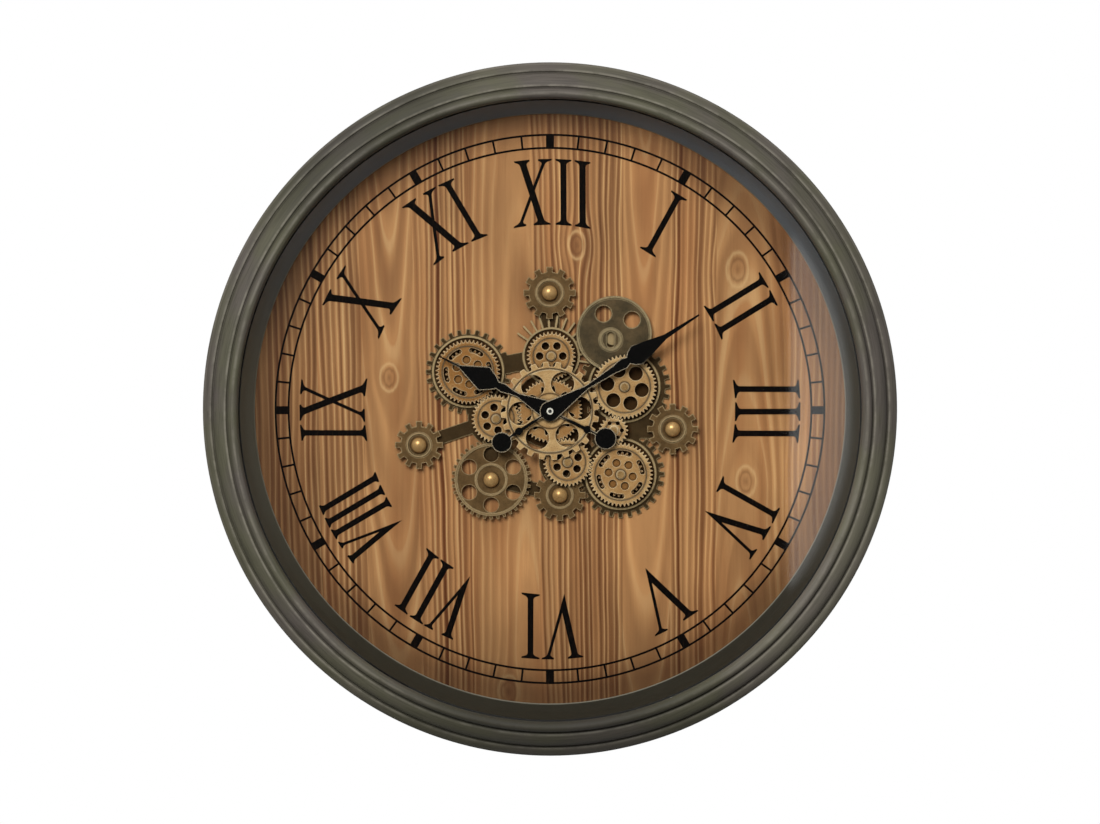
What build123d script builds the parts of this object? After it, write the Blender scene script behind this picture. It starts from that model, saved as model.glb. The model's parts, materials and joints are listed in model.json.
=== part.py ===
from build123d import *
import os
from collections import namedtuple
from math import atan2, cos, degrees, hypot, pi, radians, sin, tan

# Round wall clock with a wood dial and an open train of gilt wheels, in millimetres.
# Modelling axes: X to the right, Y up the dial, Z from the wall to the viewer, hands turning about Z.
# The last section stands the clock up: wall plane Y = 0, front towards -Y, origin at the keyhole.

# Fits
RUNNING_FIT = 0.05  # radial room round a turning shaft
END_PLAY = 0.2  # axial room beside a turning piece
LOOSE_FIT = 0.3  # room round a piece that drops into its seat
SCREW_ROOM = 0.2  # radial room round a screw or stud

# Frame ring, a turned moulding, from the outside in
FRAME_R = 300.0
FRAME_DEPTH = 72.0
SIDE_STEP = 3.0  # the side wall stands this far inside the outer bead
OUTER_BEAD_W = 8.0
OUTER_BEAD_DROP = 15.0  # below the front of the inner bead
GROOVE_W = 2.0
GROOVE_D = 1.5
TORUS_W = 11.6
TORUS_DROP = 5.0
INNER_BEAD_W = 8.1
LIP_TAPER = 0.8
LIP_H = 2.95  # from the foot of the inner bead to the glass
LIP_COVER = 5.0  # how far the lip covers the glass edge
SHOULDER_W = 12.5  # flat ring beside the dial's back, for the clips
DIAL_RECESS = 44.0  # back of the dial, behind the frame's front
BAND_STAVES = 16
GLUE_LINE = 0.1  # between two staves

# Glass, seal, spacer and dial, stacked in the frame's bore
GLASS_T = 3.0
SEAL_T = 0.8
DIAL_T = 7.0
SPACER_TOP_W = 5.7
SPACER_FOOT_W = 16.2

# Clips that hold the dial in from the back
CLIP_COUNT = 8
CLIP_L = 20.0
CLIP_W = 14.0
CLIP_T = 1.5
CLIP_CORNER_R = 3.5
CLIP_SCREW_R = 1.75
CLIP_SCREW_L = 16.0
SCREW_HEAD_R = 3.5
SCREW_HEAD_H = 2.2

# Hanger bracket, a hat section with a keyhole
HANGER_DROP = 85.0  # keyhole below the top of the frame
HANGER_W = 60.0
HANGER_H = 40.0
HANGER_FOOT_W = 15.0
HANGER_SHEET = 2.0
KEYHOLE_R = 5.0
KEYHOLE_SLOT_W = 5.2
KEYHOLE_RISE = 11.0
HANGER_SCREW_R = 1.75
HANGER_SCREW_L = 5.0
HANGER_SCREW_PITCH = 24.0

# Wheel train
MODULE = 1.125
ADDENDUM = 1.0
DEDENDUM = 1.3
PRESSURE_ANGLE = 20.0
TOOTH_SHARE = 0.42  # tooth width at the pitch circle, as a share of the pitch
LARGE_TEETH = 48
SMALL_TEETH = 36
IDLER_TEETH = 21
CENTRE_PHASE = 3.0
TOP_ANGLE = 88.7
LEFT_ANGLE = 188.6
BOTTOM_ANGLE = -71.2
UPPER_LEFT_ANGLE = 120.9
LOWER_RIGHT_ANGLE = -13.1
IDLER_ANGLE = 99.05
UPPER_RIGHT_ANGLE = 76.0
WHEEL_T = 2.8
WHEEL_GAP = 1.7  # between the dark cogs and the wheels
RIM_W = 3.2  # flat rim inside the teeth, before the web is set back
WEB_DROP = 0.5
HUB_R = 4.3
HUB_H = 0.7
STUD_R = 2.2
STUD_COLLAR_R = 4.6
STUD_HEAD_R = 3.1
STUD_HEAD_H = 0.9

# Holes in the wheels
SMALL_HOLE_R = 3.2
SMALL_HOLE_AT = 10.0
LARGE_HOLE_R = 6.0
LARGE_HOLE_AT = 15.1
SLOTTED_HOLE_R = 3.4
SLOTTED_HOLE_AT = 10.6
SLOT_W = 3.8
SLOT_ARC = 27.0
SLOT_AT = 19.0
IDLER_HOLE_R = 1.7
IDLER_HOLE_AT = 7.2
HOLE_COUNT = 6
TOP_HOLES = 0.0
LEFT_HOLES = 40.0
BOTTOM_HOLES = 25.0
UPPER_RIGHT_HOLES = 50.0
LOWER_RIGHT_HOLES = 50.0
UPPER_LEFT_HOLES = 37.0
REAR_WHEEL_TEETH = 28
REAR_WHEEL_ROOT_R = 17.6
REAR_WHEEL_TIP_R = 19.9
REAR_WHEEL_T = 1.2
REAR_ROOT_SHARE = 0.62
REAR_TIP_SHARE = 0.3
LENS_AT = 17.2
LENS_L = 9.0
LENS_W = 3.6
LENS_SPREAD = 13.5

# Centre front wheel
FRONT_TEETH = 24
FRONT_TIP_R = 42.7
FRONT_ROOT_R = 38.4
FRONT_T = 2.2
COARSE_ROOT_SHARE = 0.6  # of the front wheel's and the lower left cog's teeth
COARSE_TIP_SHARE = 0.4
FRONT_LINE_R = 36.6
FRONT_LINE_W = 0.9
FRONT_LINE_D = 0.5
WINDOW_R = 10.0
WINDOW_AT = 25.8
WINDOW_PHASE = 5.0
CENTRE_HUB_R = 9.5
COLLAR_R = 6.0
COLLAR_FOOT_R = 12.0
COLLAR_FOOT_H = 4.4
COLLAR_CLIP_R = 8.2
COLLAR_CLIP_H = 0.9

# Dark mechanism plate and its cogs
PLATE_T = 2.0
RELIEF_H = 2.0  # rims, spikes and bosses above the plate's floor
COG_T = 2.3
COG_RING_H = 0.9
COG_RING_W = 1.6
DOME_R = 7.0
DOME_H = 6.2
COG_STUD_R = 2.0
NUT_FLATS = 7.0
NUT_H = 2.4
BACK_TEETH = 28
UPPER_LEFT_BACK_R = 37.0
LOWER_RIGHT_BACK_R = 38.3
UPPER_RIGHT_BACK_R = 40.0
BACK_TOOTH_H = 4.2
BACK_ROOT_SHARE = 0.55
BACK_TIP_SHARE = 0.42
WELL_R = 31.2
WELL_RIM_W = 1.5
SMALL_WELL_R = 24.8
SPIKE_TIP_R = 35.3
SPIKE_W = 1.5
SPIKE_PITCH = 13.0
SPIKE_FIRST = -10.0
SPIKE_COUNT = 13
HUB_DISC_R = 33.0
BOSS_R = 10.0
TOP_COG_GAP = 26.3
TOP_COG_ANGLE = 91.5
LEFT_COG_GAP = 42.4
LEFT_COG_ANGLE = 198.9
LOWER_LEFT_GAP = 24.8
LOWER_LEFT_COG_ANGLE = 265.3
BOTTOM_COG_GAP = 1.3
BOTTOM_COG_ANGLE = 256.9
RIGHT_COG_GAP = 31.3
RIGHT_COG_ANGLE = 1.1
TOP_COG_TIP_R = 22.8
LEFT_COG_TIP_R = 21.0
BOTTOM_COG_TIP_R = 22.4
RIGHT_COG_TIP_R = 22.3
SMALL_COG_TEETH = 12
SMALL_COG_TOOTH_H = 4.6
SMALL_COG_ROOT_SHARE = 0.56
SMALL_COG_TIP_SHARE = 0.5
SMALL_COG_RING_SHARE = 0.66  # raised ring, as a share of the root radius
LOWER_LEFT_TIP_R = 34.6
LOWER_LEFT_TEETH = 36
LOWER_LEFT_TOOTH_H = 3.0
LOWER_LEFT_RIM_W = 2.2
LOWER_LEFT_HUB_R = 14.0
LOWER_LEFT_HOLE_R = 6.6
LOWER_LEFT_HOLE_AT = 22.0
LOWER_LEFT_HOLES = 30.0
UPPER_DISC_R = 32.8
UPPER_DISC_FROM_TOP = 57.8
UPPER_DISC_ANGLE = 19.5
UPPER_DISC_RIM_W = 2.0
UPPER_DISC_HOLE_R = 6.9
UPPER_DISC_HOLE_AT = 19.6
UPPER_DISC_HOLES = (118.0, 38.0)
ARCH_R = 10.0
ARCH_W = 2.2
ARCH_SLOT_W = 6.5
ARCH_AT = 6.0
ARCH_ANGLE = 240.0
ARM_W = 12.0
BAR_W = 16.0

# Quartz movement behind the centre
MOVEMENT_W = 56.0
MOVEMENT_DROP = 31.0  # lower edge below the hands' axis
MOVEMENT_DEPTH = 16.0
BOX_WALL = 1.5
BOX_CORNER_R = 3.0
COVER_T = 1.4
CELL_R = 7.25
CELL_TIP_R = 2.7
CELL_TIP_H = 1.0
CELL_ROOM = 0.25
CONTACT_T = 0.5
CELL_END_ROOM = 3.8  # for the tip and both contacts, inside the movement
CONTACT_W = 9.0
BUSH_R = 4.5
BUSH_FLANGE_R = 7.0
BUSH_FLANGE_H = 1.2
BUSH_NUT_FLATS = 12.0
BUSH_NUT_H = 2.4
HOUR_TUBE_R = 2.6
MINUTE_ARBOR_R = 1.6
MOTION_MODULE = 0.6
MOTION_SHARE = 0.36
CANNON_TEETH = 10
MINUTE_TEETH = 30
MINUTE_PINION_TEETH = 10
HOUR_TEETH = 40
MOTION_ANGLE = 42.0
MOTION_T = 1.8
MOTION_GAP = 0.7
KNOB_R = 7.0
KNOB_H = 3.6
KNOB_TEETH = 24
KNOB_GROOVE = 0.5
KNOB_ROOT_SHARE = 0.7
KNOB_TIP_SHARE = 0.45
KNOB_STEM_R = 2.0
COIL_R = 3.6
COIL_L = 19.0
COIL_FLANGE_W = 8.6
COIL_FLANGE_T = 1.4
COIL_SIDE_GAP = 3.0
BOARD_T = 1.0
BOARD_L = 26.0
BOARD_W = 10.0

# Drive unit behind the upper right wheel
DRIVE_LEFT = 29.0  # walls, measured from the drive arbor
DRIVE_RIGHT = 32.0
DRIVE_UP = 22.5
DRIVE_CHAMBER = 19.0
DRIVE_END_ROOM = 8.8  # for the tip and both contacts, inside the drive
DRIVE_DEPTH = 18.0
DRIVE_MODULE = 0.6
DRIVE_TEETH = 36
PINION_TEETH = 10
PINION_ANGLE = 155.0
DRIVE_WHEEL_T = 1.8
DRIVE_ARBOR_R = 2.2
MOTOR_R = 8.0
MOTOR_H = 6.5
MOTOR_SHAFT_R = 0.8

# Hands, seen from the front: stations are (distance from the axis, half width)
HAND_T = 1.0
HAND_GAP = 1.2
HAND_BOSS_R = 8.9
HAND_NUT_R = 2.9
HAND_NUT_H = 2.0
SHOULDER_ROUND = 1.6
MINUTE_ANGLE = 32.9
MINUTE_STATIONS = (
    (38.0, 1.9),
    (66.0, 3.4),
    (76.0, 5.0),
    (80.5, 3.4),
    (83.5, 6.6),
    (89.0, 9.5),
    (118.0, 2.2),
    (153.0, 0.7),
)
MINUTE_TAIL_KNUCKLE = 32.0
MINUTE_TAIL_AT = 49.6
MINUTE_TAIL_R = 8.8
HOUR_ANGLE = 153.7
HOUR_STATIONS = (
    (31.0, 1.9),
    (38.0, 2.6),
    (45.0, 4.2),
    (50.5, 3.3),
    (56.0, 7.4),
    (63.5, 11.3),
    (87.0, 1.4),
    (104.0, 0.6),
)
HOUR_TAIL_KNUCKLE = 36.0
HOUR_TAIL_AT = 53.5
HOUR_TAIL_R = 9.4
TAIL_ROD_W = 2.6
TAIL_KNUCKLE_W = 6.4
TAIL_KNUCKLE_L = 7.0

# Levels along Z that the stack gives
HANGER_HEIGHT = FRAME_R - HANGER_DROP  # keyhole above the hands' axis
DIAL_BACK = FRAME_DEPTH - DIAL_RECESS
DIAL_FRONT = DIAL_BACK + DIAL_T
PLATE_TOP = DIAL_FRONT + PLATE_T
RELIEF_TOP = PLATE_TOP + RELIEF_H
COG_TOP = RELIEF_TOP + COG_T
WHEEL_LOW = COG_TOP + WHEEL_GAP
WHEEL_TOP = WHEEL_LOW + WHEEL_T
HUB_TOP = WHEEL_TOP + HUB_H
HEAD_LOW = HUB_TOP + END_PLAY
HEAD_TOP = HEAD_LOW + STUD_HEAD_H
FRONT_LOW = HEAD_TOP + LOOSE_FIT
FRONT_TOP = FRONT_LOW + FRONT_T
CLIP_LOW = FRONT_TOP + END_PLAY
CLIP_TOP = CLIP_LOW + COLLAR_CLIP_H
HOUR_LOW = CLIP_TOP + LOOSE_FIT
HOUR_TOP = HOUR_LOW + HAND_T
MINUTE_LOW = HOUR_TOP + HAND_GAP
MINUTE_TOP = MINUTE_LOW + HAND_T
NUT_TOP = MINUTE_TOP + HAND_NUT_H
INNER_BEAD_FOOT = FRAME_DEPTH - INNER_BEAD_W / 2
GLASS_FRONT = INNER_BEAD_FOOT - LIP_H
GLASS_BACK = GLASS_FRONT - GLASS_T
SEAL_BACK = GLASS_BACK - SEAL_T

# Radii of the frame, from the outside in
SIDE_R = FRAME_R - SIDE_STEP
TORUS_OUT_R = FRAME_R - OUTER_BEAD_W - GROOVE_W
TORUS_IN_R = TORUS_OUT_R - TORUS_W
BEAD_OUT_R = TORUS_IN_R - GROOVE_W
BEAD_IN_R = BEAD_OUT_R - INNER_BEAD_W
LIP_R = BEAD_IN_R - LIP_TAPER
BORE_R = LIP_R + LIP_COVER
SHOULDER_R = BORE_R + SHOULDER_W
STACK_R = BORE_R - LOOSE_FIT

Wheel = namedtuple("Wheel", "at teeth phase ratio")
Cog = namedtuple("Cog", "at tip_r")
LOW = (Align.CENTER, Align.CENTER, Align.MIN)


def polar(radius, angle):
    return radius * cos(radians(angle)), radius * sin(radians(angle))


def step_from(start, distance, angle):
    dx, dy = polar(distance, angle)
    return start[0] + dx, start[1] + dy


def rod(radius, low, high, at=(0, 0)):
    return Pos(*at, low) * Cylinder(radius, high - low, align=LOW)


def tube(outer, inner, low, high, at=(0, 0)):
    return Pos(*at, low) * extrude(Circle(outer) - Circle(inner), high - low)


def slab(face, low, high, at=(0, 0)):
    return Pos(*at, low) * extrude(face, high - low)


def turned(*section):
    return revolve(Plane.XZ * make_face(Polyline(*section, close=True)), Axis.Z)


def bar(start, end, width):
    # round-ended strip between two points
    length = hypot(end[0] - start[0], end[1] - start[1])
    middle = ((start[0] + end[0]) / 2, (start[1] + end[1]) / 2)
    angle = degrees(atan2(end[1] - start[1], end[0] - start[0]))
    return Pos(*middle) * Rot(0, 0, angle) * SlotCenterToCenter(length, width)


def toothed(teeth, root_r, tip_r, root_share, tip_share, phase=0.0):
    # straight-sided teeth: each takes root_share of the pitch at its foot and tip_share at its tip
    pitch = 360 / teeth
    corners = ((root_r, -root_share), (tip_r, -tip_share), (tip_r, tip_share), (root_r, root_share))
    points = [polar(r, phase + pitch * (k + share / 2)) for k in range(teeth) for r, share in corners]
    return make_face(Polyline(*points, close=True))


def gear_face(teeth, phase, module=MODULE, width_share=TOOTH_SHARE):
    pitch_r = module * teeth / 2
    root_r = pitch_r - DEDENDUM * module
    tip_r = pitch_r + ADDENDUM * module

    def share_at(radius):
        width = width_share * pi * module - 2 * (radius - pitch_r) * tan(radians(PRESSURE_ANGLE))
        return width * teeth / (2 * pi * radius)

    return toothed(teeth, root_r, tip_r, share_at(root_r), share_at(tip_r), phase)


def tip_radius(teeth, module=MODULE):
    return module * (teeth / 2 + ADDENDUM)


def root_radius(teeth, module=MODULE):
    return module * (teeth / 2 - DEDENDUM)


def meshed(driver, teeth, angle, module=MODULE):
    # a gap of this wheel stands on the line of centres where the driver has a tooth
    distance = module * (driver.teeth + teeth) / 2
    counted = (angle - driver.phase) * driver.teeth / 360
    phase = angle + 180 - (0.5 - counted) * 360 / teeth
    return Wheel(step_from(driver.at, distance, angle), teeth, phase, -driver.ratio * driver.teeth / teeth)


def hexagon(flats):
    return RegularPolygon(flats / 2, 6, major_radius=False)


# Places of the wheels: each meshes with the one that it is placed from
centre = Wheel((0.0, 0.0), LARGE_TEETH, CENTRE_PHASE, 1.0)
top = meshed(centre, SMALL_TEETH, TOP_ANGLE)
left = meshed(centre, SMALL_TEETH, LEFT_ANGLE)
bottom = meshed(centre, SMALL_TEETH, BOTTOM_ANGLE)
upper_left = meshed(left, LARGE_TEETH, UPPER_LEFT_ANGLE)
lower_right = meshed(bottom, LARGE_TEETH, LOWER_RIGHT_ANGLE)
idler = meshed(lower_right, IDLER_TEETH, IDLER_ANGLE)
upper_right = meshed(idler, LARGE_TEETH, UPPER_RIGHT_ANGLE)
STUDDED = (top, left, bottom, upper_left, lower_right, idler)


def cog_beside(wheel, gap, angle, tip_r):
    # the cog's dome nut clears the wheel's teeth by the gap
    return Cog(step_from(wheel.at, tip_radius(wheel.teeth) + DOME_R + gap, angle), tip_r)


top_cog = cog_beside(top, TOP_COG_GAP, TOP_COG_ANGLE, TOP_COG_TIP_R)
left_cog = cog_beside(left, LEFT_COG_GAP, LEFT_COG_ANGLE, LEFT_COG_TIP_R)
lower_left_cog = cog_beside(left, LOWER_LEFT_GAP, LOWER_LEFT_COG_ANGLE, LOWER_LEFT_TIP_R)
bottom_cog = cog_beside(bottom, BOTTOM_COG_GAP, BOTTOM_COG_ANGLE, BOTTOM_COG_TIP_R)
right_cog = cog_beside(idler, RIGHT_COG_GAP, RIGHT_COG_ANGLE, RIGHT_COG_TIP_R)
COGS = (top_cog, left_cog, lower_left_cog, bottom_cog, right_cog)
upper_disc_at = step_from(top.at, UPPER_DISC_FROM_TOP, UPPER_DISC_ANGLE)

# Places of the motion work and of the drive
hour_module = MOTION_MODULE * (CANNON_TEETH + MINUTE_TEETH) / (MINUTE_PINION_TEETH + HOUR_TEETH)
cannon = Wheel((0.0, 0.0), CANNON_TEETH, MOTION_ANGLE, 1.0)
minute_wheel = meshed(cannon, MINUTE_TEETH, MOTION_ANGLE, MOTION_MODULE)
minute_pinion = Wheel(minute_wheel.at, MINUTE_PINION_TEETH, MOTION_ANGLE, minute_wheel.ratio)
hour_wheel = meshed(minute_pinion, HOUR_TEETH, MOTION_ANGLE + 180, hour_module)
drive_wheel = Wheel(upper_right.at, DRIVE_TEETH, PINION_ANGLE, upper_right.ratio)
motor_pinion = meshed(drive_wheel, PINION_TEETH, PINION_ANGLE, DRIVE_MODULE)


def frame_ring():
    torus_top = FRAME_DEPTH - TORUS_DROP
    outer_top = FRAME_DEPTH - OUTER_BEAD_DROP
    bead_low = outer_top - OUTER_BEAD_W
    bead_in = FRAME_R - OUTER_BEAD_W
    bead_mid = (BEAD_OUT_R + BEAD_IN_R) / 2
    diagonal = cos(radians(45))
    edges = [
        Polyline(
            (BEAD_IN_R, INNER_BEAD_FOOT),
            (LIP_R, GLASS_FRONT),
            (BORE_R, GLASS_FRONT),
            (BORE_R, DIAL_BACK),
            (SIDE_R, DIAL_BACK),
            (SIDE_R, bead_low - SIDE_STEP),
            (FRAME_R, bead_low),
        ),
        ThreePointArc(
            (FRAME_R, bead_low),
            (bead_in + OUTER_BEAD_W * diagonal, bead_low + OUTER_BEAD_W * diagonal),
            (bead_in, outer_top),
        ),
        Polyline(
            (bead_in, outer_top),
            (bead_in - GROOVE_W / 2, outer_top - GROOVE_D),
            (TORUS_OUT_R, outer_top),
        ),
        ThreePointArc(
            (TORUS_OUT_R, outer_top),
            (TORUS_IN_R + TORUS_W * diagonal, outer_top + (torus_top - outer_top) * diagonal),
            (TORUS_IN_R, torus_top),
        ),
        Polyline(
            (TORUS_IN_R, torus_top),
            (TORUS_IN_R - GROOVE_W / 2, torus_top - GROOVE_D),
            (BEAD_OUT_R, torus_top),
            (BEAD_OUT_R, INNER_BEAD_FOOT),
        ),
        ThreePointArc(
            (BEAD_OUT_R, INNER_BEAD_FOOT), (bead_mid, FRAME_DEPTH), (BEAD_IN_R, INNER_BEAD_FOOT)
        ),
    ]
    ring = revolve(Plane.XZ * make_face(edges), Axis.Z)
    return ring - [rod(CLIP_SCREW_R, DIAL_BACK, clip_screw_end(), at) for at in clip_screw_places()]


def frame_band():
    # ring of glued staves behind the moulding, it stands the dial off the wall
    turn = 360 / BAND_STAVES
    half = turn / 2 - degrees(GLUE_LINE / 2 / SHOULDER_R)
    edges = [CenterArc((0, 0), radius, -half, 2 * half) for radius in (SIDE_R, SHOULDER_R)]
    edges += [Line(polar(SIDE_R, end), polar(SHOULDER_R, end)) for end in (-half, half)]
    stave = slab(make_face(edges), 0, DIAL_BACK)
    return [Rot(0, 0, k * turn) * stave for k in range(BAND_STAVES)]


def glass_pane():
    return rod(STACK_R, GLASS_BACK, GLASS_FRONT)


def glass_seal():
    return tube(STACK_R, BORE_R - SPACER_TOP_W, SEAL_BACK, GLASS_BACK)


def spacer_ring():
    return turned(
        (STACK_R, DIAL_FRONT),
        (BORE_R - SPACER_FOOT_W, DIAL_FRONT),
        (BORE_R - SPACER_TOP_W, SEAL_BACK),
        (STACK_R, SEAL_BACK),
    )


def dial_board():
    board = rod(STACK_R, DIAL_BACK, DIAL_FRONT)
    holes = [rod(COG_STUD_R + SCREW_ROOM, DIAL_BACK, DIAL_FRONT, cog.at) for cog in COGS]
    holes.append(rod(BUSH_R + SCREW_ROOM, DIAL_BACK, DIAL_FRONT))
    holes.append(rod(DRIVE_ARBOR_R + LOOSE_FIT, DIAL_BACK, DIAL_FRONT, upper_right.at))
    screw_end = DIAL_BACK + HANGER_SCREW_L
    holes += [rod(HANGER_SCREW_R, DIAL_BACK, screw_end, at) for at in hanger_screw_places()]
    return board - holes


# Clips and their screws

def clip_angles():
    return [360 / CLIP_COUNT * (k + 0.5) for k in range(CLIP_COUNT)]


def clip_screw_places():
    return [polar((BORE_R + SHOULDER_R) / 2, angle) for angle in clip_angles()]


def clip_screw_end():
    return DIAL_BACK - CLIP_T + CLIP_SCREW_L


def pan_screw(radius, seat, end, at):
    # the head stands on the wall side of its seat
    return rod(SCREW_HEAD_R, seat - SCREW_HEAD_H, seat, at) + rod(radius, seat, end, at)


def dial_clips():
    outline = RectangleRounded(CLIP_L, CLIP_W, CLIP_CORNER_R)
    hole = Pos((BORE_R + SHOULDER_R) / 2 - BORE_R, 0) * Circle(CLIP_SCREW_R + SCREW_ROOM)
    clip = Pos(BORE_R, 0, DIAL_BACK - CLIP_T) * extrude(outline - hole, CLIP_T)
    return [Rot(0, 0, angle) * clip for angle in clip_angles()]


def clip_screws():
    return [pan_screw(CLIP_SCREW_R, DIAL_BACK - CLIP_T, clip_screw_end(), at) for at in clip_screw_places()]


# Hanger bracket

def hanger_screw_places():
    x = (HANGER_W + HANGER_FOOT_W) / 2
    y = HANGER_SCREW_PITCH / 2
    return [(sx * x, HANGER_HEIGHT + sy * y) for sx in (-1, 1) for sy in (-1, 1)]


def hanger_bracket():
    half = HANGER_W / 2
    inner = half - HANGER_SHEET
    foot = half + HANGER_FOOT_W
    under_foot = DIAL_BACK - HANGER_SHEET
    section = Polyline(
        (-foot, DIAL_BACK),
        (-foot, under_foot),
        (-half, under_foot),
        (-half, 0),
        (half, 0),
        (half, under_foot),
        (foot, under_foot),
        (foot, DIAL_BACK),
        (inner, DIAL_BACK),
        (inner, HANGER_SHEET),
        (-inner, HANGER_SHEET),
        (-inner, DIAL_BACK),
        close=True,
    )
    hat = extrude(Plane.XZ * make_face(section), HANGER_H / 2, both=True)
    hat = Pos(0, HANGER_HEIGHT, 0) * hat
    entry = Pos(0, HANGER_HEIGHT) * Circle(KEYHOLE_R)
    slot = bar((0, HANGER_HEIGHT), (0, HANGER_HEIGHT + KEYHOLE_RISE), KEYHOLE_SLOT_W)
    hat -= slab(entry + slot, 0, HANGER_SHEET)
    return hat - [
        rod(HANGER_SCREW_R + SCREW_ROOM, under_foot, DIAL_BACK, at) for at in hanger_screw_places()
    ]


def hanger_screws():
    seat = DIAL_BACK - HANGER_SHEET
    end = DIAL_BACK + HANGER_SCREW_L
    return [pan_screw(HANGER_SCREW_R, seat, end, at) for at in hanger_screw_places()]


# Dark mechanism plate: toothed discs, arms, wells, spikes and bosses in one casting

def ring_face(at, outer, width):
    return Pos(*at) * (Circle(outer) - Circle(outer - width))


def spike_faces():
    # from the middle of the well's rim outwards
    start = SMALL_WELL_R - WELL_RIM_W / 2
    length = SPIKE_TIP_R - start
    spike = Pos(start + length / 2, 0) * Rectangle(length, SPIKE_W)
    angles = [SPIKE_FIRST + k * SPIKE_PITCH for k in range(SPIKE_COUNT)]
    return [Pos(*top.at) * Rot(0, 0, angle) * spike for angle in angles]


def boss_faces():
    return [Pos(*at) * Circle(BOSS_R) for at in [cog.at for cog in COGS] + [upper_disc_at]]


def plate_floor():
    backs = [
        Pos(*wheel.at) * toothed(BACK_TEETH, tip_r - BACK_TOOTH_H, tip_r, BACK_ROOT_SHARE, BACK_TIP_SHARE)
        for wheel, tip_r in (
            (upper_left, UPPER_LEFT_BACK_R),
            (lower_right, LOWER_RIGHT_BACK_R),
            (upper_right, UPPER_RIGHT_BACK_R),
        )
    ]
    wells = [Pos(*wheel.at) * Circle(SMALL_WELL_R) for wheel in (top, left, bottom)]
    arms = [
        bar(start, end, width)
        for start, end, width in (
            (top.at, top_cog.at, BAR_W),
            (upper_left.at, top.at, BAR_W),
            (left.at, left_cog.at, ARM_W),
            (left.at, lower_left_cog.at, BAR_W),
            (lower_left_cog.at, bottom_cog.at, ARM_W),
            (bottom.at, bottom_cog.at, BAR_W),
            (idler.at, right_cog.at, BAR_W),
            (idler.at, centre.at, BAR_W),
            (upper_right.at, upper_disc_at, BAR_W),
            (top.at, upper_disc_at, BAR_W),
        )
    ]
    return Circle(HUB_DISC_R) + (backs + wells + arms + boss_faces() + spike_faces())


def plate_relief():
    rims = [ring_face(wheel.at, WELL_R, WELL_RIM_W) for wheel in (lower_right, upper_right)]
    rims.append(ring_face(top.at, SMALL_WELL_R, WELL_RIM_W))
    return ring_face(upper_left.at, WELL_R, WELL_RIM_W) + (rims + boss_faces() + spike_faces())


def plate_holes():
    holes = [Pos(*cog.at) * Circle(COG_STUD_R + SCREW_ROOM) for cog in COGS]
    holes += [Pos(*wheel.at) * Circle(STUD_R) for wheel in STUDDED]
    holes.append(Pos(*upper_right.at) * Circle(DRIVE_ARBOR_R + LOOSE_FIT))
    return holes + [Circle(BUSH_R + SCREW_ROOM)]


def mechanism_plate():
    holes = plate_holes()
    floor = slab(plate_floor() - holes, DIAL_FRONT, PLATE_TOP)
    return floor + slab(plate_relief() - holes, PLATE_TOP, RELIEF_TOP)


# Dark cogs and their fixings

def stud_hole(solid, at):
    return solid - rod(COG_STUD_R + SCREW_ROOM, RELIEF_TOP, COG_TOP + COG_RING_H, at)


def small_cog(cog):
    root_r = cog.tip_r - SMALL_COG_TOOTH_H
    face = toothed(SMALL_COG_TEETH, root_r, cog.tip_r, SMALL_COG_ROOT_SHARE, SMALL_COG_TIP_SHARE)
    body = slab(face, RELIEF_TOP, COG_TOP, cog.at)
    ring_r = root_r * SMALL_COG_RING_SHARE
    body += slab(ring_face((0, 0), ring_r, COG_RING_W), COG_TOP, COG_TOP + COG_RING_H, cog.at)
    return stud_hole(body, cog.at)


def lower_left_wheel():
    root_r = LOWER_LEFT_TIP_R - LOWER_LEFT_TOOTH_H
    face = toothed(LOWER_LEFT_TEETH, root_r, LOWER_LEFT_TIP_R, COARSE_ROOT_SHARE, COARSE_TIP_SHARE)
    face -= round_holes(LOWER_LEFT_HOLE_R, LOWER_LEFT_HOLE_AT, LOWER_LEFT_HOLES)
    at = lower_left_cog.at
    body = slab(face, RELIEF_TOP, COG_TOP, at)
    for outer, width in ((root_r, LOWER_LEFT_RIM_W), (LOWER_LEFT_HUB_R, COG_RING_W)):
        body += slab(ring_face((0, 0), outer, width), COG_TOP, COG_TOP + COG_RING_H, at)
    return stud_hole(body, at)


def upper_right_disc():
    face = Circle(UPPER_DISC_R)
    face -= [Pos(*polar(UPPER_DISC_HOLE_AT, angle)) * Circle(UPPER_DISC_HOLE_R) for angle in UPPER_DISC_HOLES]
    arch_at = polar(ARCH_AT, ARCH_ANGLE)
    face -= Pos(*arch_at) * Rot(0, 0, 90) * SlotOverall(2 * ARCH_SLOT_W, ARCH_SLOT_W)
    body = slab(face, RELIEF_TOP, COG_TOP, upper_disc_at)
    for at, outer, width in (((0, 0), UPPER_DISC_R, UPPER_DISC_RIM_W), (arch_at, ARCH_R, ARCH_W)):
        body += slab(ring_face(at, outer, width), COG_TOP, COG_TOP + COG_RING_H, upper_disc_at)
    return body


def dome_nuts():
    # a cap of a ball over a blind hole for the stud
    ball_r = (DOME_R**2 + DOME_H**2) / (2 * DOME_H)
    ball = Pos(0, 0, DOME_H - ball_r) * Sphere(ball_r)
    dome = (ball & rod(2 * ball_r, 0, 2 * ball_r)) - rod(COG_STUD_R, 0, DOME_H / 2)
    return [Pos(*cog.at, COG_TOP) * dome for cog in COGS]


def cog_studs():
    return [rod(COG_STUD_R, DIAL_BACK - NUT_H, COG_TOP + DOME_H / 2, cog.at) for cog in COGS]


def stud_nuts():
    face = hexagon(NUT_FLATS) - Circle(COG_STUD_R)
    return [slab(face, DIAL_BACK - NUT_H, DIAL_BACK, cog.at) for cog in COGS]


# Gilt wheels

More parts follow.
